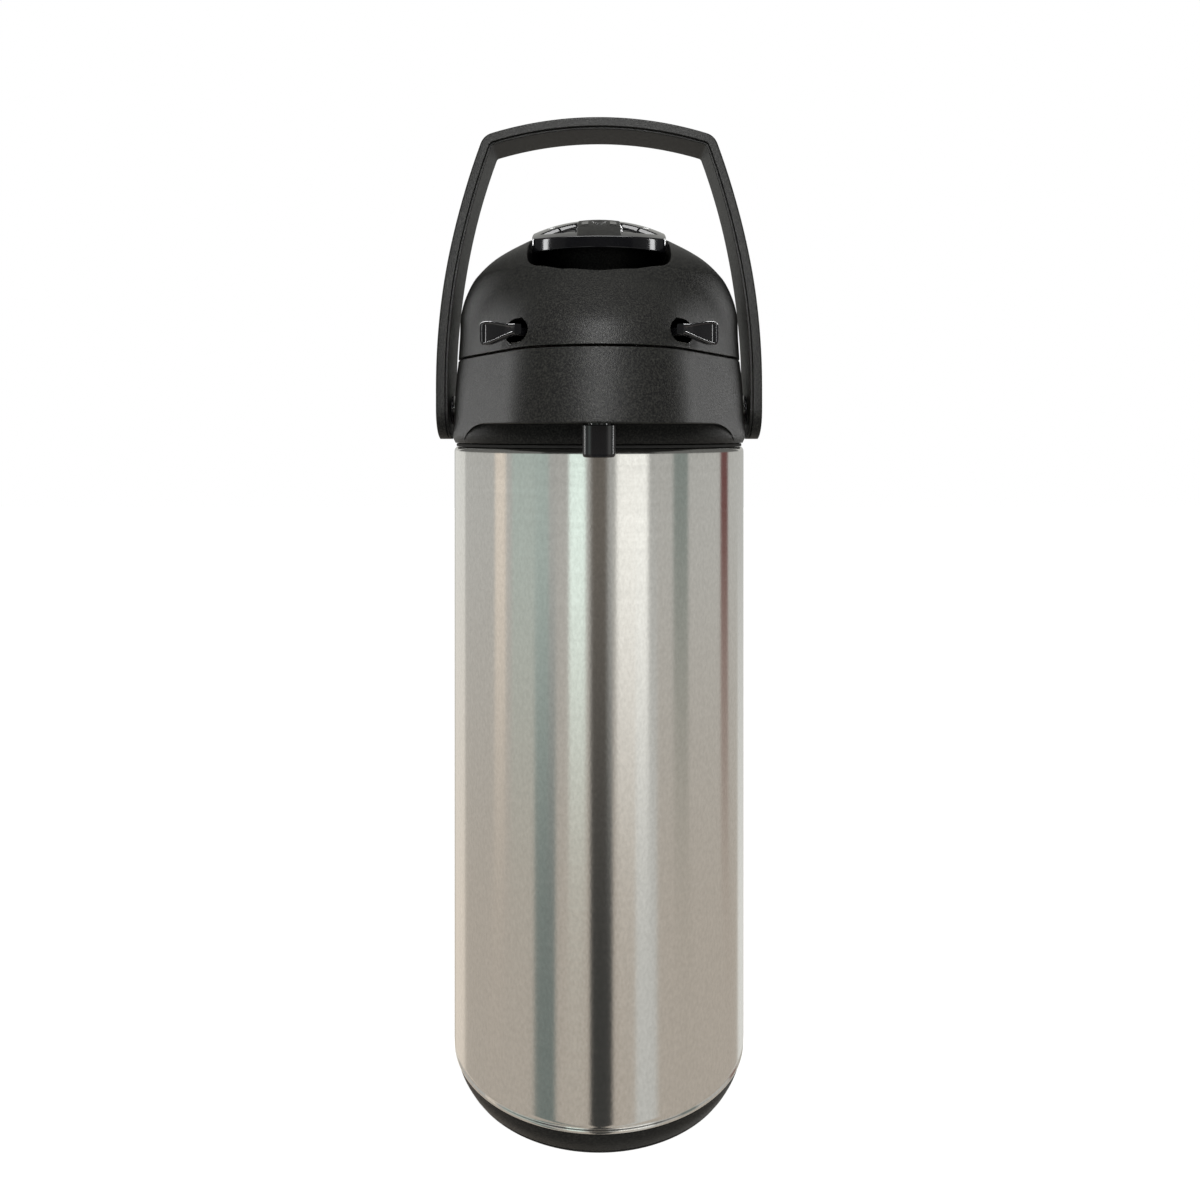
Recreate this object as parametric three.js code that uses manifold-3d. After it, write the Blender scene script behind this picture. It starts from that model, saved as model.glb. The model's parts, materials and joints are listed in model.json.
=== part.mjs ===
// Thermal coffee airpot: a vacuum-walled steel pot on a swivel foot, with a push-pump head,
// a lid that hinges at the back and a carrying bail.
// Frame: millimetres, +Z up, origin on the floor at the pot's axis, spout towards -Y.
import * as THREE from "three";
import { ParametricGeometry } from "three/addons/geometries/ParametricGeometry.js";
import { mergeVertices } from "three/addons/utils/BufferGeometryUtils.js";
import Module from "manifold-3d";

const wasm = await Module();
wasm.setup();

// ---- Driving dimensions ----

const GAP = 0.3; // between pieces that touch or run on each other
const OVERCUT = 1; // how far a cutting tool runs past what it cuts
const MERGE_DISTANCE = 1e-3;
const FINE = 32; // segments round the pot
const MEDIUM = 20;
const COARSE = 12;
const SMALL = 8;
const HEAD_SLICES = 36;

const POT_RADIUS = 63.5;
const SHELL_WALL = 0.8;
const SHELL_BOTTOM = 11.4;
const SHELL_TOP = 271;
const LINER_RADIUS = 57.9;
const LINER_WALL = 0.7;
const LINER_FLOOR = 19.5;
const LINER_SHOULDER = 258;
const NECK_OUTER = 28.9;
const NECK_LINER = 27.8;
const NECK_RIM = 288;

const FOOT_RADIUS = 58.2;
const BASE_TOP = 11.1;
const BASE_FLOOR = 5;
const HUB_RADIUS = 8;

const COLLAR_BOTTOM = 272.8;
const PARTING = 308.4; // where the lid meets the collar
const PARTING_GAP = 0.8;
const PLASTIC_WALL = 2.2;
const NOSE_RATIO = 0.613; // nose arc radius over half width of the head
const SKIRT_INNER = 60.5;
const COLLAR_FLOOR = 280;
const COLLAR_FLOOR_TOP = 282.9;
const CREASE = 280.7; // underside of the beak
const UNDERCUT_HALF = 57;
const UNDERCUT_CORNER = 12;

// Head outline by level: half width, reach of the front, height.
const COLLAR_LEVELS = [
  [63.1, 92.4, COLLAR_BOTTOM],
  [64.3, 93.4, 275.5],
  [63.8, 93.2, 281],
  [63.4, 92.0, 290],
  [62.8, 90.0, 299],
  [61.8, 87.6, PARTING - PARTING_GAP / 2],
];
const DOME_LEVELS = [
  [61.8, 87.4, PARTING + PARTING_GAP / 2],
  [61.2, 82.9, 318],
  [60.7, 73.6, 328],
  [58.5, 63.8, 336],
  [54.4, 53.6, 344],
  [47.8, 42.2, 352],
  [36.0, 27.1, 360],
  [22.0, 10.5, 367],
  [0, -12, 372.3],
];

const BUTTON_RADIUS = 38;
const BUTTON_HALF = 28.5;
const BUTTON_PROUD = 1.5;
const BUTTON_BOTTOM = 352.3;
const BUTTON_WALL = 2;
const BUTTON_FLOOR = 355.5;
const KNOB_SEAT = 358;
const KNOB_RADIUS = 23.5;
const KNOB_GAP = 0.5;
const KNOB_BAR_HALF = 9;
const KNOB_BAR_PROUD = 0.2;
const SHAFT_RADIUS = 5;
const HOLLOW = { radius: 32.5, backRadius: 45.3, backCentre: -57.6, depth: 1.8 };
const WELL_GAP = 1.8;
const WELL_WALL = 1.6;
const WELL_FLOOR = 326;
const WELL_LENS_RADIUS = 34.2;
const WELL_LENS_CENTRE = -24.8;
const ABOVE_HEAD = 390;

const LID_PLATE = 309.6;
const LID_PLATE_TOP = 311.6;
const LID_SCREWS = [[-45, 20], [45, 20], [0, -72]];
const LID_SCREW_BORE = 1.7;
const BELLOWS_RADIUS = 28;
const BELLOWS_ROOT = 22.5;
const BELLOWS_TOP = 342.7;
const BELLOWS_FOLDS = 4;

const HINGE_Y = 64;
const HINGE_RADIUS = 3;
const HINGE_HALF = 16;
const HINGE_LID_HALF = 6;
const HINGE_PIN = 1.5;
const HINGE_ROOM = 0.4; // round each knuckle

const BAIL_PIVOT = 287;
const BAIL_HALF = 70.3;
const BAIL_TOP = 413.7;
const BAIL_ARM_RADIUS = 305;
const BAIL_ARM_START = 296.3; // the arms stand upright below this height
const BAIL_BAR_RADIUS = 160;
const BAIL_CORNER = { x: 50, z: 405.8, outer: 3.5, inner: 1 };
const BAIL_THICKNESS = 5.2;
const BAIL_ARM_WIDTH = 28;
const BAIL_BAR_WIDTH = 24;
const BAIL_END = 12.7; // from the pivot to the end of the arm
const PIVOT_PIN = 3;
const PIVOT_HEAD = 3.8;

// The angle of the dome's outward normal at the latch, from the front.
const LATCH_ANGLE = (59.3 * Math.PI) / 180;
const LATCH_X = 31.2;
const LATCH_Y = -67.3;
const LATCH_Z = 315.5;
const LATCH_PIVOT_DEPTH = 6.6;
const LATCH_POCKET = 5;
const LATCH_POCKET_DEPTH = 24; // each pocket joins two round holes: front to back, and along the normal

const PIPE_OUTER = 4.3;
const PIPE_BORE = 2.8;
const PIPE_START = 269.6;
const PIPE_RUN = 297.9;
const SPOUT_HOLE = PIPE_OUTER + 0.6;
const NOZZLE_Y = -82;
const NOZZLE_BOTTOM = 268.5;
const NOZZLE_TOP = 280.2;
const NOZZLE_STEM_TOP = 286;

// ---- Materials ----

function material(color, roughness, metalness = 0) {
  return new THREE.MeshStandardMaterial({ color, roughness, metalness });
}
const BRUSHED_STEEL = material(0xb9b8b2, 0.32, 1);
const BRIGHT_STEEL = material(0xc8c8c8, 0.2, 1);
const TEXTURED_PLASTIC = material(0x2e2e2b, 0.62);
const GLOSS_PLASTIC = material(0x0c0c0e, 0.12);
const INNER_PLASTIC = material(0xd6d4cc, 0.5);
const RUBBER = material(0x161616, 0.8);
const SILICONE = material(0xc9c4b8, 0.6);

// ---- Solids ----

function toSolid(geometry) {
  const bare = geometry.clone();
  bare.deleteAttribute("normal");
  bare.deleteAttribute("uv");
  const merged = mergeVertices(bare, MERGE_DISTANCE);
  return new wasm.Manifold(
    new wasm.Mesh({
      numProp: 3,
      vertProperties: merged.attributes.position.array,
      triVerts: new Uint32Array(merged.index.array),
    }),
  );
}

function toGeometry(solid) {
  const mesh = solid.getMesh();
  return new THREE.BufferGeometry()
    .setAttribute("position", new THREE.BufferAttribute(mesh.vertProperties, 3))
    .setIndex(new THREE.BufferAttribute(mesh.triVerts, 1));
}

function join(first, ...others) {
  return toGeometry(others.reduce((sum, g) => sum.add(toSolid(g)), toSolid(first)));
}

function cut(first, ...tools) {
  return toGeometry(tools.reduce((rest, g) => rest.subtract(toSolid(g)), toSolid(first)));
}

function common(first, second) {
  return toGeometry(toSolid(first).intersect(toSolid(second)));
}

// A solid of revolution about Z. The profile runs anticlockwise with radius to the right and height
// up, and either starts and ends on the axis or is closed here.
function turned(profile, segments = MEDIUM) {
  const points = profile.map(([radius, height]) => new THREE.Vector2(radius, height));
  const onAxis = profile[0][0] === 0;
  if (!onAxis) points.push(points[0].clone());
  return new THREE.LatheGeometry(points, segments).rotateX(Math.PI / 2);
}

function ring(inner, outer, bottom, top, segments = MEDIUM) {
  const profile = [[inner, bottom], [outer, bottom], [outer, top], [inner, top]];
  return turned(profile, segments);
}

function rod(radius, bottom, top, x = 0, y = 0, segments = MEDIUM) {
  return new THREE.CylinderGeometry(radius, radius, top - bottom, segments)
    .rotateX(Math.PI / 2)
    .translate(x, y, (bottom + top) / 2);
}

function crossRod(radius, left, right, y, z, segments = SMALL) {
  return new THREE.CylinderGeometry(radius, radius, right - left, segments)
    .rotateZ(Math.PI / 2)
    .translate((left + right) / 2, y, z);
}

function box([x0, x1], [y0, y1], [z0, z1]) {
  return new THREE.BoxGeometry(x1 - x0, y1 - y0, z1 - z0).translate(
    (x0 + x1) / 2,
    (y0 + y1) / 2,
    (z0 + z1) / 2,
  );
}

// A shape in plan, pulled up from one height to another.
function prism(shape, bottom, top, curveSegments = SMALL) {
  const settings = { depth: top - bottom, bevelEnabled: false, curveSegments };
  return new THREE.ExtrudeGeometry(shape, settings).translate(0, 0, bottom);
}

// A shape seen from the front (x, z), pulled from one y to another.
function frontPrism(shape, near, far, curveSegments = SMALL) {
  const settings = { depth: far - near, bevelEnabled: false, curveSegments };
  return new THREE.ExtrudeGeometry(shape, settings).rotateX(Math.PI / 2).translate(0, far, 0);
}

// A shape seen from the side (y, z), pulled from one x to another.
function sidePrism(shape, left, right, curveSegments = SMALL) {
  const settings = { depth: right - left, bevelEnabled: false, curveSegments };
  return new THREE.ExtrudeGeometry(shape, settings)
    .rotateX(Math.PI / 2)
    .rotateZ(Math.PI / 2)
    .translate(left, 0, 0);
}

function circle(radius) {
  return new THREE.Shape().absarc(0, 0, radius, 0, 2 * Math.PI);
}

function swept(shape, path, steps, curveSegments = 3) {
  const settings = { steps, curveSegments, extrudePath: path, bevelEnabled: false };
  return new THREE.ExtrudeGeometry(shape, settings);
}

// ---- The head's outline ----

// Distance from the axis at an angle from the front: a circle of radius `side`, joined by straight
// tangents to a nose arc that reaches `front`.
function planRadius(angle, side, front) {
  const nose = NOSE_RATIO * side;
  const reach = front - nose;
  const tangent = Math.acos((side - nose) / reach);
  const noseEdge = Math.atan2(nose * Math.sin(tangent), reach + nose * Math.cos(tangent));
  const turn = Math.abs(angle);
  if (turn >= tangent) return side;
  if (turn > noseEdge) return side / Math.cos(tangent - turn);
  return reach * Math.cos(turn) + Math.sqrt(nose ** 2 - (reach * Math.sin(turn)) ** 2);
}

// A point of the head's skin. Where the front reaches no further than the sides, the level is a
// circle set back from the axis.
function headPoint(angle, side, front, height, target) {
  const setBack = Math.max(0, side - front);
  const radius = setBack > 0 ? side : planRadius(angle, side, front);
  target.set(radius * Math.sin(angle), setBack - radius * Math.cos(angle), height);
}

// A closed solid through the head's levels, drawn in by `inset` on the sides.
function headLoft(levels, inset, stacks, slices = FINE) {
  const skin = new THREE.CatmullRomCurve3(
    levels.map(([side, front, height]) => new THREE.Vector3(side, front, height)),
  );
  const level = new THREE.Vector3();
  const loft = (u, v, target) => {
    const angle = (u < 1 ? u : 0) * 2 * Math.PI;
    const row = v * (stacks + 2) - 1;
    skin.getPoint(Math.min(Math.max(row / stacks, 0), 1), level);
    const side = Math.max(level.x - inset, 0);
    headPoint(angle > Math.PI ? angle - 2 * Math.PI : angle, side, level.y - inset, level.z, target);
    const isCap = row < -0.5 || row > stacks + 0.5;
    if (isCap) target.set(0, Math.max(0, side - level.y + inset), level.z);
  };
  return new ParametricGeometry(loft, slices, stacks + 2);
}

function raised(levels, rise) {
  return levels.map(([side, front, height]) => [side, front, height + rise]);
}

// ---- Assembly ----

const airpot = new THREE.Group();

function place(name, geometry, finish, parent = airpot) {
  const mesh = new THREE.Mesh(geometry, finish);
  mesh.name = name;
  parent.add(mesh);
  return mesh;
}

// ---- Swivel foot and base ----

function addFoot() {
  const edge = 1;
  const rim = 1.5;
  const deck = { radius: 53, top: 3.4 };
  const hubTop = 7.5;
  const pad = { inner: 43, outer: 52, depth: 1.2 };
  const washer = { radius: 13, top: 9.2 };
  const screw = { bore: 1.8, shank: 1.4, head: 3.6, crown: 3.2, shoulder: 11.6, top: 11.9 };
  const plate = turned(
    [
      [0, 0], [FOOT_RADIUS - edge, 0], [FOOT_RADIUS, edge], [FOOT_RADIUS, rim], [deck.radius, rim],
      [deck.radius, deck.top], [HUB_RADIUS, deck.top], [HUB_RADIUS, hubTop], [0, hubTop],
    ],
    FINE,
  );
  const groove = ring(pad.inner - GAP, pad.outer + GAP, -OVERCUT, pad.depth + GAP);
  const bore = rod(screw.bore, deck.top - OVERCUT, hubTop + OVERCUT, 0, 0, SMALL);
  place("foot_disc", cut(plate, groove, bore), TEXTURED_PLASTIC);
  place("foot_pad_ring", ring(pad.inner, pad.outer, 0, pad.depth), RUBBER);
  place("foot_retainer", ring(screw.bore, washer.radius, hubTop + GAP, washer.top), BRIGHT_STEEL);
  const seat = washer.top + GAP;
  const screwProfile = [
    [0, deck.top], [screw.shank, deck.top], [screw.shank, seat], [screw.head, seat],
    [screw.crown, screw.shoulder], [0, screw.top],
  ];
  place("foot_screw", turned(screwProfile, SMALL), BRIGHT_STEEL);
}

function addBase() {
  const lip = { inner: FOOT_RADIUS - 4, outer: 58.9, bottom: 1.9 };
  const flare = { radius: 61.6, height: 6.6 };
  const rim = { outer: 62.8, spigot: POT_RADIUS - SHELL_WALL - GAP, inner: 60, top: 16.5 };
  const floorTop = 7.2;
  const bearing = HUB_RADIUS + GAP;
  const cup = turned(
    [
      [lip.inner, lip.bottom], [lip.outer, lip.bottom], [flare.radius, flare.height], [rim.outer, BASE_TOP],
      [rim.spigot, BASE_TOP], [rim.spigot, rim.top], [rim.inner, rim.top], [rim.inner, floorTop],
      [bearing, floorTop], [bearing, BASE_FLOOR], [lip.inner, BASE_FLOOR],
    ],
    FINE,
  );
  place("base_cup", cup, TEXTURED_PLASTIC);
}

// ---- Pot ----

function addPot() {
  const inner = POT_RADIUS - SHELL_WALL;
  const neckInner = NECK_OUTER - SHELL_WALL;
  const foot = { taper: 0.6, rise: 1 };
  const land = 59.6; // inner edge of the flat ring the collar stands on
  const shoulder = { outer: 57.6, low: 272, inner: 33, high: 277.5, neck: 279, lining: 0.4 };
  const shell = turned(
    [
      [POT_RADIUS - foot.taper, SHELL_BOTTOM], [POT_RADIUS, SHELL_BOTTOM + foot.rise],
      [POT_RADIUS, SHELL_TOP - SHELL_WALL], [inner, SHELL_TOP], [land, SHELL_TOP],
      [shoulder.outer, shoulder.low], [shoulder.inner, shoulder.high], [NECK_OUTER, shoulder.neck],
      [NECK_OUTER, NECK_RIM], [neckInner, NECK_RIM], [neckInner, shoulder.neck - SHELL_WALL],
      [shoulder.inner - shoulder.lining, shoulder.high - SHELL_WALL],
      [shoulder.outer - shoulder.lining, shoulder.low - SHELL_WALL],
      [inner, SHELL_TOP - 2 * SHELL_WALL], [inner, SHELL_BOTTOM],
    ],
    FINE,
  );
  place("outer_shell", shell, BRUSHED_STEEL);

  const seam = { inner: 60, outer: 62.6 };
  place("seam_ring", ring(seam.inner, seam.outer, SHELL_TOP + GAP, COLLAR_BOTTOM - GAP, FINE), RUBBER);

  const linerInner = LINER_RADIUS - LINER_WALL;
  const linerNeck = NECK_LINER - LINER_WALL;
  const floor = { radius: 52, corner: 25.5 };
  const bend = { outer: 54, low: 264, inner: 33, high: 273.5, neck: 276.5, lining: 0.6 };
  const liner = turned(
    [
      [0, LINER_FLOOR], [floor.radius, LINER_FLOOR], [LINER_RADIUS, floor.corner],
      [LINER_RADIUS, LINER_SHOULDER], [bend.outer, bend.low], [bend.inner, bend.high],
      [NECK_LINER, bend.neck], [NECK_LINER, NECK_RIM], [linerNeck, NECK_RIM],
      [linerNeck, bend.neck - bend.lining], [bend.inner - bend.lining, bend.high - bend.lining],
      [bend.outer - bend.lining, bend.low - bend.lining], [linerInner, LINER_SHOULDER - GAP],
      [linerInner, floor.corner + GAP], [floor.radius - GAP, LINER_FLOOR + LINER_WALL],
      [0, LINER_FLOOR + LINER_WALL],
    ],
    FINE,
  );
  place("inner_vessel", liner, BRIGHT_STEEL);

  const dimple = { radius: 6, rim: 8, low: 14.6 };
  const plate = { low: 16.8, turnIn: 58, outer: inner - GAP, flange: 19 };
  const bottom = turned([
    [0, dimple.low], [dimple.radius, dimple.low], [dimple.rim, plate.low], [plate.outer, plate.low],
    [plate.outer, plate.flange], [plate.outer - SHELL_WALL, plate.flange],
    [plate.turnIn, plate.low + SHELL_WALL], [dimple.rim - SHELL_WALL, plate.low + SHELL_WALL],
    [dimple.radius - SHELL_WALL, dimple.low + SHELL_WALL], [0, dimple.low + SHELL_WALL],
  ]);
  place("shell_bottom", bottom, BRIGHT_STEEL);
}

// ---- Collar with beak and spout ----

function roundedTopPanel(half, bottom, top, corner) {
  const shape = new THREE.Shape();
  shape.moveTo(-half, bottom);
  shape.lineTo(half, bottom);
  shape.lineTo(half, top - corner);
  shape.absarc(half - corner, top - corner, corner, 0, Math.PI / 2);
  shape.lineTo(corner - half, top);
  shape.absarc(corner - half, top - corner, corner, Math.PI / 2, Math.PI);
  return shape;
}

// The two ends of a span on the left or the right side, in rising order.
function span(side, from, to) {
  return [side * from, side * to].sort((a, b) => a - b);
}

function hingeRod(radius, left, right) {
  return crossRod(radius, left, right, HINGE_Y, PARTING);
}

function hingeBore() {
  return hingeRod(HINGE_PIN + GAP, -HINGE_HALF - OVERCUT, HINGE_HALF + OVERCUT);
}

function addCollar() {
  const body = headLoft(COLLAR_LEVELS, 0, 5, HEAD_SLICES);
  const below = 6;
  const ahead = 120;
  const panel = roundedTopPanel(UNDERCUT_HALF, COLLAR_BOTTOM - below + OVERCUT, CREASE, UNDERCUT_CORNER);
  const skirtLevels = COLLAR_LEVELS.slice(0, 3).map(([side, , height]) => [side, height]);
  const skirtTop = skirtLevels[2][1];
  const skirtBottom = [[0, COLLAR_BOTTOM - below], [skirtLevels[0][0], COLLAR_BOTTOM - below]];
  const skirt = turned([...skirtBottom, ...skirtLevels, [0, skirtTop]], FINE);
  const undercut = cut(frontPrism(panel, -ahead, 0, 4), skirt);

  const floorLevel = [63.7, 93, COLLAR_FLOOR_TOP];
  const cavityLevels = COLLAR_LEVELS.filter(([, , height]) => height > COLLAR_FLOOR_TOP);
  const openTop = [61.8, 87.6, PARTING + HINGE_RADIUS];
  const cavity = headLoft([floorLevel, ...cavityLevels, openTop], PLASTIC_WALL, 3, 2 * COARSE);
  const skirtCavity = rod(SKIRT_INNER, COLLAR_BOTTOM - OVERCUT, COLLAR_FLOOR, 0, 0, FINE);
  const floorTop = COLLAR_FLOOR_TOP + OVERCUT;
  const mouth = rod(NECK_OUTER + GAP, COLLAR_FLOOR - OVERCUT, floorTop, 0, 0, FINE);
  const spoutHole = rod(SPOUT_HOLE, CREASE - 2 * OVERCUT, floorTop, 0, NOZZLE_Y, SMALL);
  const pinReach = POT_RADIUS + 5;
  const pinHole = crossRod(PIVOT_PIN + GAP, -pinReach, pinReach, 0, BAIL_PIVOT);
  const lidRoom = hingeRod(HINGE_RADIUS + HINGE_ROOM, -HINGE_LID_HALF - GAP, HINGE_LID_HALF + GAP);
  const hollow = cut(body, undercut, cavity, skirtCavity, mouth, spoutHole, pinHole, lidRoom);

  const bridgeDepth = 7;
  const bridgeTop = PARTING - 0.2;
  const knuckles = [-1, 1].flatMap((side) => {
    const ends = span(side, HINGE_LID_HALF + GAP, HINGE_HALF);
    const bridge = box(ends, [SKIRT_INNER, HINGE_Y], [PARTING - bridgeDepth, bridgeTop]);
    return [hingeRod(HINGE_RADIUS, ...ends), bridge];
  });
  place("head_collar", cut(join(hollow, ...knuckles), hingeBore()), TEXTURED_PLASTIC);
  place("hinge_pin", hingeRod(HINGE_PIN, -HINGE_HALF, HINGE_HALF), BRIGHT_STEEL);

  const nut = { outer: 36, top: NECK_RIM - 0.6, slot: 2, slotCircle: 36.5, slots: 4 };
  const nutRing = ring(NECK_OUTER + GAP, nut.outer, COLLAR_FLOOR_TOP + GAP, nut.top, FINE);
  const spanners = Array.from({ length: nut.slots }, (_, k) => {
    const turn = ((k + 0.5) * 2 * Math.PI) / nut.slots;
    const x = nut.slotCircle * Math.cos(turn);
    const y = nut.slotCircle * Math.sin(turn);
    return rod(nut.slot, COLLAR_FLOOR_TOP, NECK_RIM, x, y, SMALL);
  });
  place("neck_nut", cut(nutRing, ...spanners), INNER_PLASTIC);
}

function addSpout() {
  const half = 6;
  const depth = 13;
  const corner = 2.5;
  const plan = new THREE.Shape();
  const front = NOZZLE_Y - depth / 2;
  const back = NOZZLE_Y + depth / 2;
  plan.absarc(half - corner, front + corner, corner, -Math.PI / 2, 0);
  plan.absarc(half - corner, back - corner, corner, 0, Math.PI / 2);
  plan.absarc(corner - half, back - corner, corner, Math.PI / 2, Math.PI);
  plan.absarc(corner - half, front + corner, corner, Math.PI, 1.5 * Math.PI);
  const block = prism(plan, NOZZLE_BOTTOM, NOZZLE_TOP, 3);
  const stem = rod(PIPE_OUTER, NOZZLE_TOP - OVERCUT, NOZZLE_STEM_TOP, 0, NOZZLE_Y, COARSE);
  const bore = rod(PIPE_BORE, NOZZLE_BOTTOM - OVERCUT, NOZZLE_STEM_TOP + OVERCUT, 0, NOZZLE_Y, SMALL);
  place("spout_nozzle", cut(join(block, stem), bore), GLOSS_PLASTIC);

  const clip = { inner: PIPE_OUTER + 0.4, outer: 7.5, bottom: COLLAR_FLOOR_TOP + GAP, thickness: 1.8 };
  const clipRing = ring(clip.inner, clip.outer, 0, clip.thickness, COARSE);
  place("nozzle_clip", clipRing, INNER_PLASTIC).position.set(0, NOZZLE_Y, clip.bottom);

  const bend = 9;
  const path = new THREE.CurvePath();
  const start = new THREE.Vector3(0, 0, PIPE_START);
  const rise = new THREE.Vector3(0, 0, PIPE_RUN - bend);
  const over = new THREE.Vector3(0, -bend, PIPE_RUN);
  const ahead = new THREE.Vector3(0, NOZZLE_Y + bend, PIPE_RUN);
  const drop = new THREE.Vector3(0, NOZZLE_Y, PIPE_RUN - bend);
  path.add(new THREE.LineCurve3(start, rise));
  path.add(new THREE.QuadraticBezierCurve3(rise, new THREE.Vector3(0, 0, PIPE_RUN), over));
  path.add(new THREE.LineCurve3(over, ahead));
  path.add(new THREE.QuadraticBezierCurve3(ahead, new THREE.Vector3(0, NOZZLE_Y, PIPE_RUN), drop));
  path.add(new THREE.LineCurve3(drop, new THREE.Vector3(0, NOZZLE_Y, NOZZLE_STEM_TOP + GAP)));
  const section = circle(PIPE_OUTER);
  section.holes.push(new THREE.Path().absarc(0, 0, PIPE_BORE, 0, 2 * Math.PI));
  const steps = 18;
  place("outlet_pipe", swept(section, path, steps, 4), INNER_PLASTIC);
}

// ---- Stopper and dip tube ----

function addStopper() {
  const gasket = { inner: 26.8, outer: 29.4, top: 290.2 };
  place("neck_gasket", ring(gasket.inner, gasket.outer, NECK_RIM + GAP, gasket.top), SILICONE);
  const plug = { hole: 5, radius: 25.8, bottom: 270, floor: 272, inner: 23.5 };
  const flange = { bottom: 290.5, deck: 290.8, top: 293.1, radius: 31, inner: 12 };
  const body = turned([
    [plug.hole, plug.bottom], [plug.radius, plug.bottom], [plug.radius, flange.bottom],
    [flange.radius, flange.bottom], [flange.radius, flange.top], [flange.inner, flange.top],
    [flange.inner, flange.deck], [plug.inner, flange.deck], [plug.inner, plug.floor],
    [plug.hole, plug.floor],
  ]);
  place("stopper_body", body, INNER_PLASTIC);
  const seal = { outer: 26.8, bottom: 280, top: 284 };
  place("stopper_seal", ring(plug.radius + GAP, seal.outer, seal.bottom, seal.top), SILICONE);

  const cap = { radius: 24, bottom: flange.top + GAP, top: 304.6 };
  const channel = { half: PIPE_OUTER + 0.4, front: -25 };
  const air = { radius: 3, y: 12 };
  const pipeRoom = box(
    [-channel.half, channel.half],
    [channel.front, channel.half],
    [cap.bottom - OVERCUT, PIPE_RUN + channel.half],
  );
  const airHole = rod(air.radius, cap.bottom - OVERCUT, cap.top + OVERCUT, 0, air.y, SMALL);
  place("stopper_cap", cut(rod(cap.radius, cap.bottom, cap.top), pipeRoom, airHole), INNER_PLASTIC);

  const ball = { radius: 3.5, x: 13, z: plug.floor + GAP + 3.5 };
  const sphere = new THREE.SphereGeometry(ball.radius, SMALL, SMALL).translate(ball.x, 0, ball.z);
  place("tilt_valve_ball", sphere, BRIGHT_STEEL);

  const tube = { bottom: 27, top: PIPE_START - GAP };
  place("dip_tube", ring(PIPE_BORE, PIPE_OUTER, tube.bottom, tube.top, COARSE), INNER_PLASTIC);
  const nut = { inner: PIPE_OUTER + 1, outer: 8, bottom: 263.5, top: 269.6, sides: 6 };
  place("tube_nut", ring(nut.inner, nut.outer, nut.bottom, nut.top, nut.sides), INNER_PLASTIC);
  const foot = { outer: 6.2, bottom: 23, top: 34, notchHalf: 1.5, notchTop: 26 };
  const sleeve = ring(PIPE_OUTER + GAP, foot.outer, foot.bottom, foot.top, COARSE);
  const reach = foot.outer + OVERCUT;
  const notch = box(
    [-foot.notchHalf, foot.notchHalf],
    [-reach, reach],
    [foot.bottom - OVERCUT, foot.notchTop],
  );
  place("tube_foot", cut(sleeve, notch), INNER_PLASTIC);
}

// ---- Lid ----

// The plan of the button: a disc with its sides cut straight.
function clippedDisc(radius, half) {
  const corner = Math.acos(half / radius);
  const shape = new THREE.Shape();
  shape.absarc(0, 0, radius, corner, Math.PI - corner);
  shape.absarc(0, 0, radius, Math.PI + corner, 2 * Math.PI - corner);
  return shape;
}

// The plan of the button's well: round at the back, with a lens-shaped finger recess at the front.
function wellPlan(margin) {
  const half = BUTTON_HALF + WELL_GAP + margin;
  const back = BUTTON_RADIUS + WELL_GAP + margin;
  const lens = WELL_LENS_RADIUS + margin;
  const backCorner = Math.acos(half / back);
  const lensCorner = Math.acos(half / lens);
  const shape = new THREE.Shape();
  shape.absarc(0, 0, back, backCorner, Math.PI - backCorner);
  shape.absarc(0, WELL_LENS_CENTRE, lens, Math.PI + lensCorner, 2 * Math.PI - lensCorner);
  return shape;
}

// Places a solid made at the right latch: its x runs back along the dome's skin, its y runs inwards.
function atLatch(geometry) {
  return geometry.rotateZ(LATCH_ANGLE).translate(LATCH_X, LATCH_Y, LATCH_Z);
}

function lidScrewRods(radius, bottom, top) {
  return LID_SCREWS.map(([x, y]) => rod(radius, bottom, top, x, y, SMALL));
}

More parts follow.
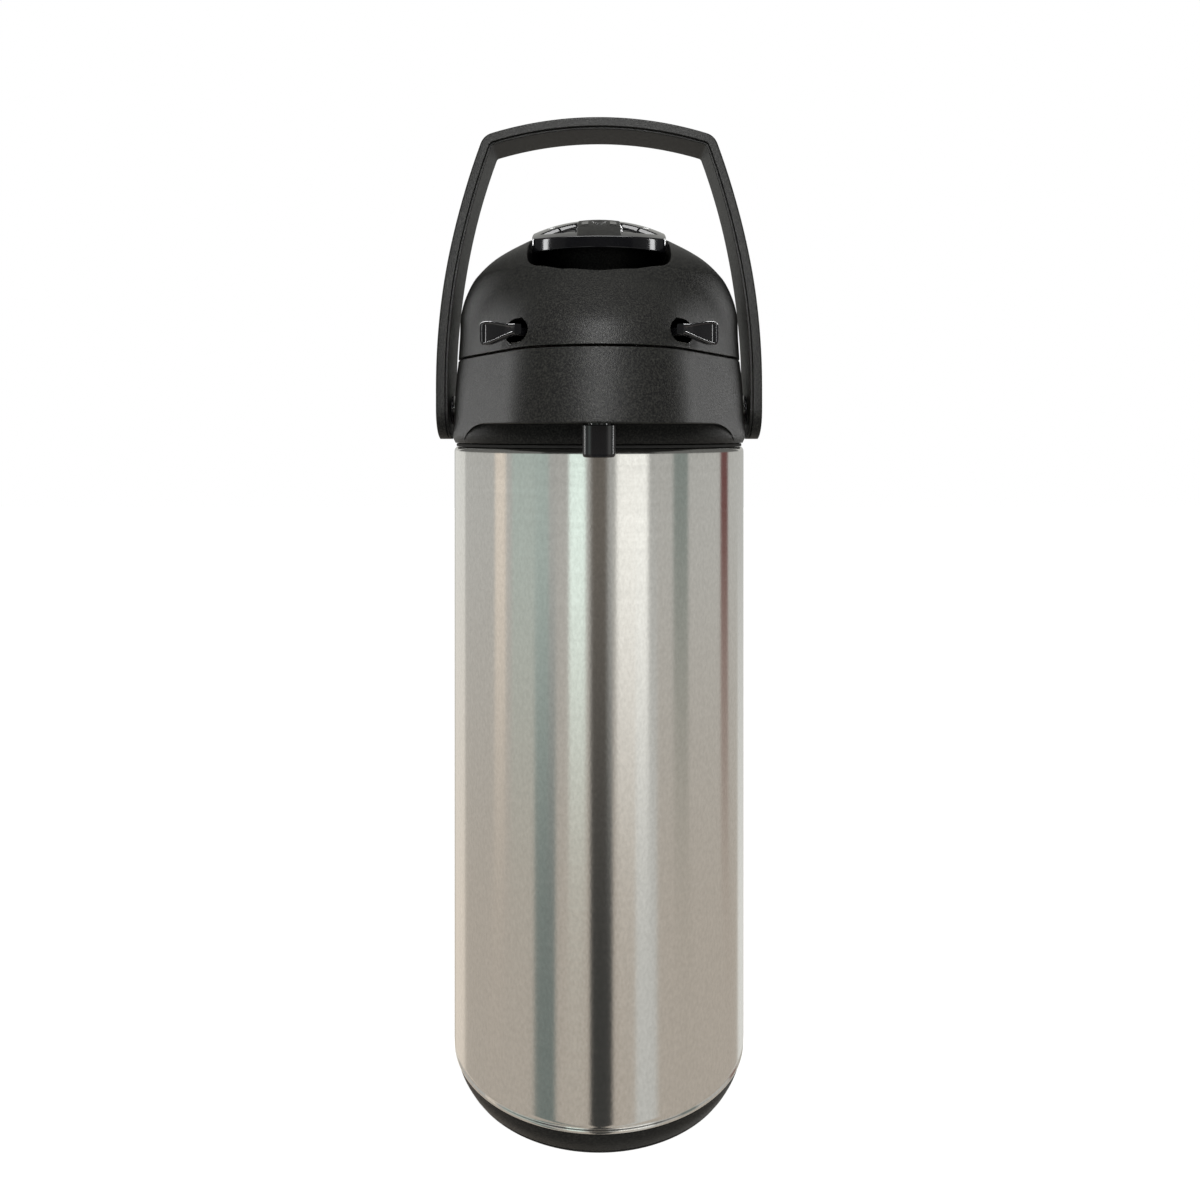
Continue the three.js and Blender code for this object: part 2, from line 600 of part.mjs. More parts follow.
function addDome() {
  const outer = headLoft(DOME_LEVELS, 0, 10, HEAD_SLICES);
  const openBottom = [61.8, 87.4, PARTING - HINGE_RADIUS];
  const lining = [openBottom, ...raised(DOME_LEVELS, -PLASTIC_WALL)];
  const inner = headLoft(lining, PLASTIC_WALL, 7, HEAD_SLICES);
  const post = { radius: 3.5, bottom: LID_PLATE_TOP + GAP, holeDepth: 9 };
  const posts = lidScrewRods(post.radius, post.bottom, ABOVE_HEAD);
  const wellBlock = prism(wellPlan(WELL_WALL), WELL_FLOOR, ABOVE_HEAD, 5);
  const filling = common(join(wellBlock, ...posts), outer);
  const shell = join(cut(outer, inner), filling);

  const floorTop = WELL_FLOOR + 2;
  const wellRoom = prism(wellPlan(0), floorTop, ABOVE_HEAD, 5);
  const bellowsHole = rod(BELLOWS_RADIUS + 1.3, WELL_FLOOR - OVERCUT, floorTop + OVERCUT);
  const screwHoles = lidScrewRods(LID_SCREW_BORE, LID_PLATE_TOP, LID_PLATE_TOP + post.holeDepth);
  const pockets = [-1, 1].flatMap((side) =>
    [0, side * LATCH_ANGLE].map((heading) =>
      new THREE.CylinderGeometry(LATCH_POCKET, LATCH_POCKET, LATCH_POCKET_DEPTH, MEDIUM)
        .rotateZ(heading)
        .translate(side * LATCH_X, LATCH_Y, LATCH_Z),
    ),
  );
  const collarRoom = [-1, 1].map((side) =>
    hingeRod(HINGE_RADIUS + HINGE_ROOM, ...span(side, HINGE_LID_HALF - GAP / 2, HINGE_HALF + GAP)),
  );
  const body = cut(shell, wellRoom, bellowsHole, ...screwHoles, ...pockets, ...collarRoom);

  const lidHalf = [-HINGE_LID_HALF, HINGE_LID_HALF];
  const bridge = { inner: 60.2, bottom: PARTING + PARTING_GAP / 2, top: PARTING + 6 };
  const bridgeBlock = box(lidHalf, [bridge.inner, HINGE_Y], [bridge.bottom, bridge.top]);
  const hinged = join(body, hingeRod(HINGE_RADIUS, ...lidHalf), bridgeBlock);
  place("lid_dome", cut(hinged, hingeBore()), TEXTURED_PLASTIC);
}

function addLidPlate() {
  const reach = { side: 58.6, front: 82.2 };
  const outline = new THREE.Shape();
  const point = new THREE.Vector3();
  for (let i = 0; i < HEAD_SLICES; i += 1) {
    headPoint((i / HEAD_SLICES) * 2 * Math.PI - Math.PI, reach.side, reach.front, 0, point);
    if (i === 0) {
      outline.moveTo(point.x, point.y);
    } else {
      outline.lineTo(point.x, point.y);
    }
  }
  const plate = prism(outline, LID_PLATE, LID_PLATE_TOP);
  const boss = { radius: 20, bottom: 306.9 };
  const port = { radius: 5, seat: 10, seatTop: 308.4 };
  const plateTop = LID_PLATE_TOP + OVERCUT;
  const body = join(plate, rod(boss.radius, boss.bottom, LID_PLATE + OVERCUT));
  const airPort = rod(port.radius, boss.bottom - OVERCUT, plateTop, 0, 0, COARSE);
  const flapSeat = rod(port.seat, boss.bottom - OVERCUT, port.seatTop, 0, 0, COARSE);
  const holes = lidScrewRods(LID_SCREW_BORE, LID_PLATE - OVERCUT, plateTop);
  place("lid_base_plate", cut(body, airPort, flapSeat, ...holes), INNER_PLASTIC);

  const flap = { radius: 8.5, bottom: 307.2, top: port.seatTop - GAP };
  place("air_valve_flap", rod(flap.radius, flap.bottom, flap.top, 0, 0, COARSE), SILICONE);
  const gasket = { inner: 13, outer: 17, bottom: 304.9, top: boss.bottom - GAP };
  place("lid_gasket", ring(gasket.inner, gasket.outer, gasket.bottom, gasket.top), SILICONE);
  const screw = { crown: 2.6, head: 3, shank: 1.4, bottom: 307.5, edge: 307.7, tip: 318 };
  LID_SCREWS.forEach(([x, y], index) => {
    const seat = LID_PLATE - GAP;
    const profile = [
      [0, screw.bottom], [screw.crown, screw.edge], [screw.head, seat], [screw.shank, seat],
      [screw.shank, screw.tip], [0, screw.tip],
    ];
    place("lid_screw_" + (index + 1), turned(profile, SMALL), BRIGHT_STEEL).position.set(x, y, 0);
  });
}

function addBellows() {
  const wall = 1.2;
  const foldStart = 314;
  const foldEnd = BELLOWS_TOP - 1.5;
  const flange = { radius: BELLOWS_RADIUS + 5, bottom: LID_PLATE_TOP + GAP };
  const flangeTop = flange.bottom + wall;
  const rootOuter = BELLOWS_ROOT + wall;
  const pitch = (foldEnd - foldStart) / BELLOWS_FOLDS;
  const folds = Array.from({ length: BELLOWS_FOLDS }, (_, k) => foldStart + k * pitch);
  const outside = folds.flatMap((z) => [[rootOuter, z], [BELLOWS_RADIUS, z + pitch / 2]]);
  const inside = folds.flatMap((z) => [[BELLOWS_ROOT, z], [BELLOWS_RADIUS - wall, z + pitch / 2]]);
  const profile = [
    [BELLOWS_ROOT, flange.bottom], [flange.radius, flange.bottom], [flange.radius, flangeTop],
    [rootOuter, flangeTop], ...outside, [rootOuter, foldEnd], [rootOuter, BELLOWS_TOP],
    [BELLOWS_ROOT, BELLOWS_TOP], ...inside.reverse(),
  ];
  place("bellows", turned(profile), RUBBER);
  const clamp = { inner: BELLOWS_RADIUS + 0.8, outer: 36, top: 315.2 };
  place("bellows_clamp", ring(clamp.inner, clamp.outer, flangeTop + GAP, clamp.top), INNER_PLASTIC);

  const coil = { radius: 15, turns: 5, bottom: 313.2, top: 341.6, wire: 1, steps: 50 };
  const helix = new THREE.Curve();
  helix.getPoint = (t, target = new THREE.Vector3()) => {
    const turn = t * coil.turns * 2 * Math.PI;
    const height = coil.bottom + t * (coil.top - coil.bottom);
    return target.set(coil.radius * Math.cos(turn), coil.radius * Math.sin(turn), height);
  };
  place("return_spring", swept(circle(coil.wire), helix, coil.steps), BRIGHT_STEEL);
}

// ---- Pump button and lock knob ----

// The button's domed top surface as a solid, standing `rise` over the cap.
function buttonSkin(rise) {
  return headLoft(raised(DOME_LEVELS, BUTTON_PROUD + rise), -BUTTON_PROUD, 11, 2 * COARSE);
}

// Everything over the floors of the two finger hollows, one on each side of the bar.
function fingerHollows() {
  const disc = rod(HOLLOW.radius, BUTTON_FLOOR, ABOVE_HEAD);
  const backDisc = rod(HOLLOW.backRadius, BUTTON_FLOOR, ABOVE_HEAD, 0, HOLLOW.backCentre, FINE);
  const barRoom = box(
    [-KNOB_BAR_HALF, KNOB_BAR_HALF],
    [-BUTTON_RADIUS, BUTTON_RADIUS],
    [BUTTON_FLOOR - OVERCUT, ABOVE_HEAD + OVERCUT],
  );
  return cut(common(disc, backDisc), barRoom, buttonSkin(-HOLLOW.depth));
}

function addButton() {
  const skin = buttonSkin(0);
  const barSkin = buttonSkin(KNOB_BAR_PROUD);
  const hollows = fingerHollows();
  const cap = prism(clippedDisc(BUTTON_RADIUS, BUTTON_HALF), BUTTON_BOTTOM, ABOVE_HEAD);
  const underPlan = clippedDisc(BUTTON_RADIUS - BUTTON_WALL, BUTTON_HALF - BUTTON_WALL);
  const under = prism(underPlan, BUTTON_BOTTOM - OVERCUT, BUTTON_FLOOR);
  const knobRoom = rod(KNOB_RADIUS + KNOB_GAP, KNOB_SEAT, ABOVE_HEAD);
  const shaftHole = rod(SHAFT_RADIUS + GAP, BUTTON_FLOOR - OVERCUT, KNOB_SEAT + OVERCUT, 0, 0, COARSE);
  const frontHalf = box(
    [-BUTTON_RADIUS, BUTTON_RADIUS],
    [-BUTTON_RADIUS, 0],
    [KNOB_SEAT, ABOVE_HEAD],
  );
  const capBarPlan = clippedDisc(BUTTON_RADIUS - GAP, KNOB_BAR_HALF);
  const capBar = common(common(prism(capBarPlan, KNOB_SEAT, ABOVE_HEAD), barSkin), frontHalf);
  const capBody = join(cut(common(cap, skin), hollows), capBar);
  place("button_cap", cut(capBody, under, knobRoom, shaftHole), GLOSS_PLASTIC);

  const cup = { radius: 26, wall: 24, inner: 21.5, bottom: BELLOWS_TOP + GAP, floor: 345 };
  const cupTop = BUTTON_FLOOR - GAP;
  const plunger = turned([
    [0, cup.bottom], [cup.radius, cup.bottom], [cup.radius, cup.floor], [cup.wall, cup.floor],
    [cup.wall, cupTop], [cup.inner, cupTop], [cup.inner, cup.floor], [0, cup.floor],
  ]);
  place("plunger_cup", plunger, TEXTURED_PLASTIC);

  const cam = { half: 17, width: 4, bottom: 347.5, top: 350 };
  const disc = common(rod(KNOB_RADIUS, KNOB_SEAT + GAP, ABOVE_HEAD), skin);
  const bar = common(prism(clippedDisc(KNOB_RADIUS, KNOB_BAR_HALF), KNOB_SEAT + GAP, ABOVE_HEAD), barSkin);
  const shaft = rod(SHAFT_RADIUS, cam.top + GAP, KNOB_SEAT + OVERCUT, 0, 0, COARSE);
  place("lock_knob", join(cut(disc, hollows), bar, shaft), GLOSS_PLASTIC);
  const camPlate = box([-cam.half, cam.half], [-cam.width, cam.width], [cam.bottom, cam.top]);
  place("lock_cam", camPlate, INNER_PLASTIC);
}

// ---- Latches ----

function addLatches() {
  const tip = { x: 17.3, half: 4.5, inner: -4.2, outer: -7 };
  const flare = { x: 11.5, half: 4.2 };
  const root = { x: -4, half: 1.4, inner: -0.7, outer: -3.4 };
  const neck = { half: 2.2, inner: -1, tail: 2 };
  const plan = new THREE.Shape();
  plan.moveTo(root.x, root.inner);
  plan.lineTo(-neck.half, root.inner);
  plan.lineTo(-neck.half, LATCH_PIVOT_DEPTH);
  plan.lineTo(neck.half, LATCH_PIVOT_DEPTH);
  plan.lineTo(neck.half, neck.inner);
  plan.lineTo(tip.x, tip.inner);
  plan.lineTo(tip.x, tip.outer);
  plan.lineTo(root.x, root.outer);
  const tail = new THREE.Shape();
  tail.moveTo(root.x, -root.half);
  tail.lineTo(neck.half, -neck.tail);
  tail.lineTo(flare.x, -flare.half);
  tail.lineTo(tip.x, -tip.half);
  tail.lineTo(tip.x, tip.half);
  tail.lineTo(flare.x, flare.half);
  tail.lineTo(neck.half, neck.tail);
  tail.lineTo(root.x, root.half);
  const ahead = 10;
  const hub = { bottom: -3.4, top: 1.2, radius: 2.7, bore: 1.5 };
  const pin = { radius: 1.2, bottom: LID_PLATE_TOP + GAP - LATCH_Z, top: 2.9 };
  const coil = { radius: 1.75, turns: 1.5, wire: 0.35, steps: 15, bottom: 2.5, rise: 0.8 };
  const sides = [["left", -1], ["right", 1]];
  sides.forEach(([label, side]) => {
    const paddle = common(prism(plan, -tip.half, tip.half), frontPrism(tail, -ahead, ahead));
    const barrel = rod(hub.radius, hub.bottom, hub.top, 0, LATCH_PIVOT_DEPTH, SMALL);
    const bore = rod(hub.bore, 2 * hub.bottom, 2 * hub.top, 0, LATCH_PIVOT_DEPTH, SMALL);
    const latch = place("latch_" + label, atLatch(cut(join(paddle, barrel), bore)), GLOSS_PLASTIC);
    const axleRod = rod(pin.radius, pin.bottom, pin.top, 0, LATCH_PIVOT_DEPTH, SMALL);
    const axle = place("latch_pin_" + label, atLatch(axleRod), BRIGHT_STEEL);
    const helix = new THREE.Curve();
    helix.getPoint = (t, target = new THREE.Vector3()) => {
      const turn = t * coil.turns * 2 * Math.PI;
      const along = coil.radius * Math.cos(turn);
      const deep = LATCH_PIVOT_DEPTH + coil.radius * Math.sin(turn);
      return target.set(along, deep, coil.bottom + t * coil.rise);
    };
    const wire = swept(circle(coil.wire), helix, coil.steps, 2);
    const spring = place("latch_spring_" + label, atLatch(wire), BRIGHT_STEEL);
    [latch, axle, spring].forEach((mesh) => mesh.scale.setX(side));
  });
}

// ---- Bail ----

function armEdge(height, inset) {
  const above = Math.max(0, height - BAIL_ARM_START);
  return BAIL_HALF - BAIL_ARM_RADIUS + Math.sqrt(BAIL_ARM_RADIUS ** 2 - above ** 2) - inset;
}

function barEdge(x, inset) {
  return BAIL_TOP - inset - BAIL_BAR_RADIUS + Math.sqrt(BAIL_BAR_RADIUS ** 2 - x ** 2);
}

// Half of the bail's outline from the front, offset inwards: up the arm, round the corner, along the bar.
function bailHalfOutline(inset, cornerRadius) {
  const armSteps = 6;
  const barSteps = 4;
  const cornerSteps = 4;
  const corner = new THREE.Vector2(BAIL_CORNER.x - inset, BAIL_CORNER.z - inset);
  const bottom = BAIL_PIVOT - BAIL_END;
  const armTop = corner.y - cornerRadius;
  const barEnd = corner.x - cornerRadius;
  const arm = Array.from({ length: armSteps + 1 }, (_, k) => {
    const z = bottom + ((armTop - bottom) * k) / armSteps;
    return new THREE.Vector2(armEdge(z, inset), z);
  });
  const bar = Array.from({ length: barSteps + 1 }, (_, k) => {
    const x = barEnd * (1 - k / barSteps);
    return new THREE.Vector2(x, barEdge(x, inset));
  });
  const turn = new THREE.QuadraticBezierCurve(arm.at(-1), corner, bar[0]);
  return [...arm, ...turn.getPoints(cornerSteps).slice(1, -1), ...bar];
}

function mirroredPoints(points) {
  return points.slice(0, -1).reverse().map((p) => new THREE.Vector2(-p.x, p.y));
}

// The bail seen from the side: its arms narrow towards the bar, and end round about the pivots.
function bailSide() {
  const armHalf = BAIL_ARM_WIDTH / 2;
  const barHalf = BAIL_BAR_WIDTH / 2;
  const taper = { bottom: 330, top: 385 };
  const top = BAIL_TOP + OVERCUT;
  const side = new THREE.Shape();
  side.absellipse(0, BAIL_PIVOT, armHalf, BAIL_END, Math.PI, 2 * Math.PI);
  side.lineTo(armHalf, taper.bottom);
  side.lineTo(barHalf, taper.top);
  side.lineTo(barHalf, top);
  side.lineTo(-barHalf, top);
  side.lineTo(-barHalf, taper.top);
  side.lineTo(-armHalf, taper.bottom);
  return side;
}

function addBail() {
  const outside = bailHalfOutline(0, BAIL_CORNER.outer);
  const inside = bailHalfOutline(BAIL_THICKNESS, BAIL_CORNER.inner);
  const loop = [
    ...outside,
    ...mirroredPoints(outside),
    ...[...inside, ...mirroredPoints(inside)].reverse(),
  ];
  const strap = frontPrism(new THREE.Shape(loop), -BAIL_ARM_WIDTH / 2, BAIL_ARM_WIDTH / 2);
  const reach = BAIL_HALF + OVERCUT;
  const trimmed = common(strap, sidePrism(bailSide(), -reach, reach));
  const skinOverPin = 1.6;
  const pin = { inner: 58, shoulder: 60, headEnd: 60.5, end: BAIL_HALF - skinOverPin - GAP };
  const washer = { radius: 6.5, inner: POT_RADIUS + 0.6, outer: BAIL_HALF - BAIL_THICKNESS - GAP };
  const cross = (radius, side, from, to, segments) =>
    crossRod(radius, ...span(side, from, to), 0, BAIL_PIVOT, segments);
  const bores = [-1, 1].map((side) => cross(PIVOT_PIN + GAP, side, pin.shoulder, pin.end + GAP));
  place("bail_handle", cut(trimmed, ...bores), TEXTURED_PLASTIC);

  [["left", -1], ["right", 1]].forEach(([label, side]) => {
    const shank = cross(PIVOT_PIN, side, pin.shoulder, pin.end);
    const head = cross(PIVOT_HEAD, side, pin.inner, pin.headEnd);
    place("pivot_pin_" + label, join(shank, head), BRIGHT_STEEL);
    const disc = cross(washer.radius, side, washer.inner, washer.outer, COARSE);
    const bore = cross(PIVOT_PIN + GAP, side, washer.inner - OVERCUT, BAIL_HALF);
    place("pivot_washer_" + label, cut(disc, bore), GLOSS_PLASTIC);
  });
}

addFoot();
addBase();
addPot();
addCollar();
addSpout();
addStopper();
addDome();
addLidPlate();
addBellows();
addButton();
addLatches();
addBail();

export default airpot;
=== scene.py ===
import json
import math

import bmesh
import bpy
from mathutils import Matrix, Vector


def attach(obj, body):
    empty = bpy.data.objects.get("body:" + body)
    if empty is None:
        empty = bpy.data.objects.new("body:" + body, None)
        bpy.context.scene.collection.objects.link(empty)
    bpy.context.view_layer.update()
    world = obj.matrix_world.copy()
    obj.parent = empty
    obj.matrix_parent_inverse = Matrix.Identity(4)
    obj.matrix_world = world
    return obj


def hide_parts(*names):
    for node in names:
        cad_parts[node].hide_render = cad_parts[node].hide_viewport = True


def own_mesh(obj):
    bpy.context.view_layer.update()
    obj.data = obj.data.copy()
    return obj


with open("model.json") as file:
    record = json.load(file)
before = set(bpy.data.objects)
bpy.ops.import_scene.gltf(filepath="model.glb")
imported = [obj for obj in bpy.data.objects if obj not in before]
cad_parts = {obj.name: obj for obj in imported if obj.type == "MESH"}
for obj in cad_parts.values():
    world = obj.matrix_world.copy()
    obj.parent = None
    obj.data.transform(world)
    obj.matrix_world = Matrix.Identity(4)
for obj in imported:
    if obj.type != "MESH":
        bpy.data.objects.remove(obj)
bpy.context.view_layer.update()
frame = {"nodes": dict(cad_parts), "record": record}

# Thermal coffee airpot. Lengths are millimetres, except the places of lights and camera, which are
# metres. The frame has +Z up, the origin on the floor at the pot's axis and the spout towards -Y.

MM = 0.001
MERGE = 1e-6
SHARP_DEGREES = 42
FILLET_STEPS = 4
FILLET_SHARE = 0.45  # the most of an edge that a fillet takes
BISECTIONS = 30
SHELL_ROUND = 256
ROUND = 192
SMALL_ROUND = 96
POCKET_ROUND = 64
HEAD_COLUMNS = 200
GAP = 0.3
SIDES = ("left", -1), ("right", 1)

POT_RADIUS = 63.5
SHELL_BOTTOM = 11.4
SHELL_TOP = 271
SHELL_INNER = 62.7

COLLAR_BOTTOM = 272.8
PARTING = 308.4
PARTING_GAP = 0.8
PLASTIC_WALL = 2.2
NOSE_RATIO = 0.613
SKIRT_RADIUS = 60.5
COLLAR_FLOOR = 280
COLLAR_FLOOR_TOP = 282.9
NECK_HOLE = 29.2
CREASE = 280.7
UNDERCUT_HALF = 57
UNDERCUT_CORNER = 12

# Head outline by level: half width, reach of the front, height.
COLLAR_LEVELS = [
    (63.1, 92.4, COLLAR_BOTTOM),
    (64.3, 93.4, 275.5),
    (63.8, 93.2, 281),
    (63.4, 92.0, 290),
    (62.8, 90.0, 299),
    (61.8, 87.6, PARTING - PARTING_GAP / 2),
]
DOME_LEVELS = [
    (61.8, 87.4, PARTING + PARTING_GAP / 2),
    (61.2, 82.9, 318),
    (60.7, 73.6, 328),
    (58.5, 63.8, 336),
    (54.4, 53.6, 344),
    (47.8, 42.2, 352),
    (36.0, 27.1, 360),
    (22.0, 10.5, 367),
    (0, -12, 372.3),
]

BUTTON_RADIUS = 38
BUTTON_HALF = 28.5
BUTTON_PROUD = 1.5
BUTTON_BOTTOM = 352.3
BUTTON_FLOOR = 355.5
BUTTON_WALL = 2
KNOB_SEAT = 358
KNOB_RADIUS = 23.5
KNOB_BAR_HALF = 9
HOLLOW_RADIUS = 32.5
HOLLOW_BACK_RADIUS = 45.3
HOLLOW_BACK_CENTRE = -57.6
HOLLOW_DEPTH = 1.8
SHAFT_RADIUS = 5

WELL_GAP = 1
WELL_WALL = 1.6
WELL_FLOOR = 326
WELL_FLOOR_TOP = 328
WELL_HOLE = 29.3
WELL_FRONT = 59.2
WELL_BEND = 3
WELL_SLOPE = 0.5

HINGE_Y = 64
HINGE_RADIUS = 3
HINGE_HALF = 16
HINGE_LID_HALF = 6
HINGE_PIN = 1.5
BRIDGE_INSET = 0.1  # keeps a bridge's faces off the faces of its knuckle
COLLAR_BRIDGE = -7, -2  # heights from the parting line
DOME_BRIDGE = 2, 6
COLLAR_HINGE_ROOM = 0.37
COLLAR_HINGE_SIDE = 0.23
DOME_HINGE_ROOM = 0.4
DOME_HINGE_SIDE = 0.1

LATCH_ANGLE = math.radians(59.3)
LATCH_PLACE = Vector((31.2, -67.3, 315.5))
LATCH_PIVOT_DEPTH = 6.6
LATCH_POCKET = 5
LATCH_REACH = 12
HUB_RADIUS = 2.7
HUB_BORE = 1.5

NOZZLE_Y = -82
NOZZLE_BOTTOM = 268.5
NOZZLE_TOP = 280.2
NOZZLE_STEM_TOP = 286
NOZZLE_HALF_WIDTH = 6
NOZZLE_HALF_DEPTH = 6.5
NOZZLE_ROUNDNESS = 5  # higher makes a squarer plan
PIPE_OUTER = 4.3
PIPE_BORE = 2.8

BAIL_PIVOT = 287
BAIL_HALF = 70.3
BAIL_TOP = 413.7
BAIL_ARM_RADIUS = 305
BAIL_ARM_START = 296.3
BAIL_BAR_RADIUS = 160
BAIL_CORNER = Vector((50, 405.8))
BAIL_CORNER_RADII = 3.5, 1  # outside and inside
BAIL_THICKNESS = 5.2
BAIL_ARM_HALF = 14
BAIL_BAR_HALF = 12
BAIL_END = 12.7
BAIL_TIP_HALF = 1.2
BAIL_NARROWS_AT = 330
BAIL_NARROWS_OVER = 55
PIVOT_PIN = 3
PIVOT_PIN_START = 58
PIVOT_PIN_END = 68.4
WASHER_RADIUS = 6.5
WASHER_START = 64.1
WASHER_END = 64.8
BORE_DEPTHS = 10, 1.6  # of the bail's bores, from its outer face


# ---- Mesh tools ----


def publish(name, bm, finish, body):
    """Turns a bmesh in millimetres into a shaded piece that rides on a CAD body."""
    bmesh.ops.scale(bm, vec=(MM, MM, MM), verts=bm.verts)
    bmesh.ops.remove_doubles(bm, verts=bm.verts, dist=MERGE)
    bmesh.ops.recalc_face_normals(bm, faces=bm.faces)
    mesh = bpy.data.meshes.new(name)
    bm.to_mesh(mesh)
    bm.free()
    obj = bpy.data.objects.new(name, mesh)
    bpy.context.scene.collection.objects.link(obj)
    if finish is not None:
        mesh.materials.append(finish)
    if body is not None:
        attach(obj, body)
    return obj


def smooth(obj, weighted=True):
    """Smooth shading that keeps real edges and keeps flat faces flat."""
    obj.data.shade_smooth()
    obj.data.set_sharp_from_angle(angle=math.radians(SHARP_DEGREES))
    if weighted:
        modifier = obj.modifiers.new("flat_faces", "WEIGHTED_NORMAL")
        modifier.keep_sharp = True
    return obj


def add_columns(bm, columns, wrap=True, loop=True):
    """Skins columns of points, each with the same count, with quads."""
    rows = [[bm.verts.new(p) for p in column] for column in columns]
    count = len(rows)
    height = len(rows[0])
    for i in range(count if wrap else count - 1):
        here = rows[i]
        there = rows[(i + 1) % count]
        for j in range(height if loop else height - 1):
            k = (j + 1) % height
            bm.faces.new((here[j], there[j], there[k], here[k]))
    return rows


def filleted(corners, loop=True):
    """Replaces each corner that has a radius by a short curve. A corner is (point, radius)."""
    points = []
    count = len(corners)
    for i, (point, radius) in enumerate(corners):
        is_end = not loop and i in (0, count - 1)
        if radius == 0 or is_end:
            points.append(point)
            continue
        before = corners[i - 1][0] - point
        after = corners[(i + 1) % count][0] - point
        start = point + before.normalized() * min(radius, before.length * FILLET_SHARE)
        end = point + after.normalized() * min(radius, after.length * FILLET_SHARE)
        for k in range(FILLET_STEPS + 1):
            t = k / FILLET_STEPS
            points.append(start * (1 - t) ** 2 + point * (2 * t * (1 - t)) + end * t**2)
    return points


def lathe_mesh(profile, segments=ROUND):
    """A bmesh of a profile of (radius, height, fillet) turned about Z."""
    corners = [(Vector((r, 0, z)), fillet) for r, z, fillet in profile]
    on_axis = profile[0][0] == 0
    line = filleted(corners, loop=not on_axis)
    bm = bmesh.new()
    columns = [
        [Matrix.Rotation(2 * math.pi * i / segments, 3, "Z") @ p for p in line]
        for i in range(segments)
    ]
    add_columns(bm, columns, loop=not on_axis)
    return bm


def rod_mesh(radius, start, end, edge=0.0, bore=0.0, segments=48):
    """A bmesh of a rod between two points, with its edges rounded and perhaps bored through."""
    start, end = Vector(start), Vector(end)
    length = (end - start).length
    profile = [
        (bore, 0, 0),
        (radius, 0, edge),
        (radius, length, edge),
        (bore, length, 0),
    ]
    bm = lathe_mesh(profile, segments)
    turn = (end - start).to_track_quat("Z", "Y").to_matrix().to_4x4()
    bmesh.ops.transform(bm, matrix=Matrix.Translation(start) @ turn, verts=bm.verts)
    return bm


def block_mesh(low, high):
    bm = bmesh.new()
    bmesh.ops.create_cube(bm, size=1)
    size = Vector(high) - Vector(low)
    middle = (Vector(high) + Vector(low)) / 2
    bmesh.ops.scale(bm, vec=size, verts=bm.verts)
    bmesh.ops.translate(bm, vec=middle, verts=bm.verts)
    return bm


def merged(*parts):
    """One bmesh of several separate closed parts."""
    whole = bmesh.new()
    for bm in parts:
        mesh = bpy.data.meshes.new("part")
        bm.to_mesh(mesh)
        bm.free()
        whole.from_mesh(mesh)
        bpy.data.meshes.remove(mesh)
    return whole


def combined(obj, operation, *tools):
    """Cuts or joins bmesh tools into a piece, one after another."""
    for bm in tools:
        tool = publish("tool", bm, None, None)
        modifier = obj.modifiers.new("solid", "BOOLEAN")
        modifier.operation = operation
        modifier.solver = "EXACT"
        modifier.object = tool
        depsgraph = bpy.context.evaluated_depsgraph_get()
        made = bpy.data.meshes.new_from_object(obj.evaluated_get(depsgraph))
        made.name = obj.name
        obj.modifiers.clear()
        obj.data = made
        bpy.data.objects.remove(tool)
    return obj


# ---- The head's outline ----


def spline(levels, t):
    """A centripetal Catmull-Rom curve through the levels, from t = 0 to 1."""
    points = [Vector(p) for p in levels]
    last = len(points) - 1
    index = min(int(t * last), last - 1)
    weight = t * last - index
    here, there = points[index], points[index + 1]
    before = points[index - 1] if index > 0 else here * 2 - there
    after = points[index + 2] if index + 2 <= last else there * 2 - here
    first = (here - before).length ** 0.5
    span = (there - here).length ** 0.5
    final = (after - there).length ** 0.5
    leave = (here - before) / first - (there - before) / (first + span) + (there - here) / span
    arrive = (there - here) / span - (after - here) / (span + final) + (after - there) / final
    leave, arrive = leave * span, arrive * span
    square = (there - here) * 3 - leave * 2 - arrive
    cube = (here - there) * 2 + leave + arrive
    return here + leave * weight + square * weight**2 + cube * weight**3


SKIN_SAMPLES = 480


def bisected(is_below):
    """The highest t between 0 and 1 that still passes the test."""
    low, high = 0.0, 1.0
    for _ in range(BISECTIONS):
        middle = (low + high) / 2
        if is_below(middle):
            low = middle
        else:
            high = middle
    return low


class Skin:
    """A surface through levels of (half width, reach of the front, height)."""

    def __init__(self, levels, inset=0.0, rise=0.0):
        shift = Vector((-inset, -inset, rise))
        self.table = [spline(levels, i / SKIN_SAMPLES) + shift for i in range(SKIN_SAMPLES + 1)]

    def level(self, t):
        place = min(max(t, 0), 1) * SKIN_SAMPLES
        index = min(int(place), SKIN_SAMPLES - 1)
        return self.table[index].lerp(self.table[index + 1], place - index)

    def point(self, angle, t):
        """The point at an angle from the front, about the middle of that level."""
        side, front, height = self.level(t)
        side = max(side, 0)
        set_back = max(0, side - front)
        radius = side if set_back > 0 else plan_radius(angle, side, front)
        return Vector((radius * math.sin(angle), set_back - radius * math.cos(angle), height))

    def angle(self, x, y, t):
        side, front, _ = self.level(t)
        return math.atan2(x, max(0, side - front) - y)

    def covers(self, x, y, t):
        side, front, _ = self.level(t)
        if side <= 0:
            return False
        set_back = max(0, side - front)
        angle = math.atan2(x, set_back - y)
        radius = side if set_back > 0 else plan_radius(angle, side, front)
        return math.hypot(x, y - set_back) < radius

    def over(self, x, y):
        """How far up the levels the skin passes over a point of the plan."""
        return bisected(lambda t: self.covers(x, y, t))

    def height(self, x, y):
        return self.level(self.over(x, y)).z

    def at_height(self, height):
        return bisected(lambda t: self.level(t).z < height)


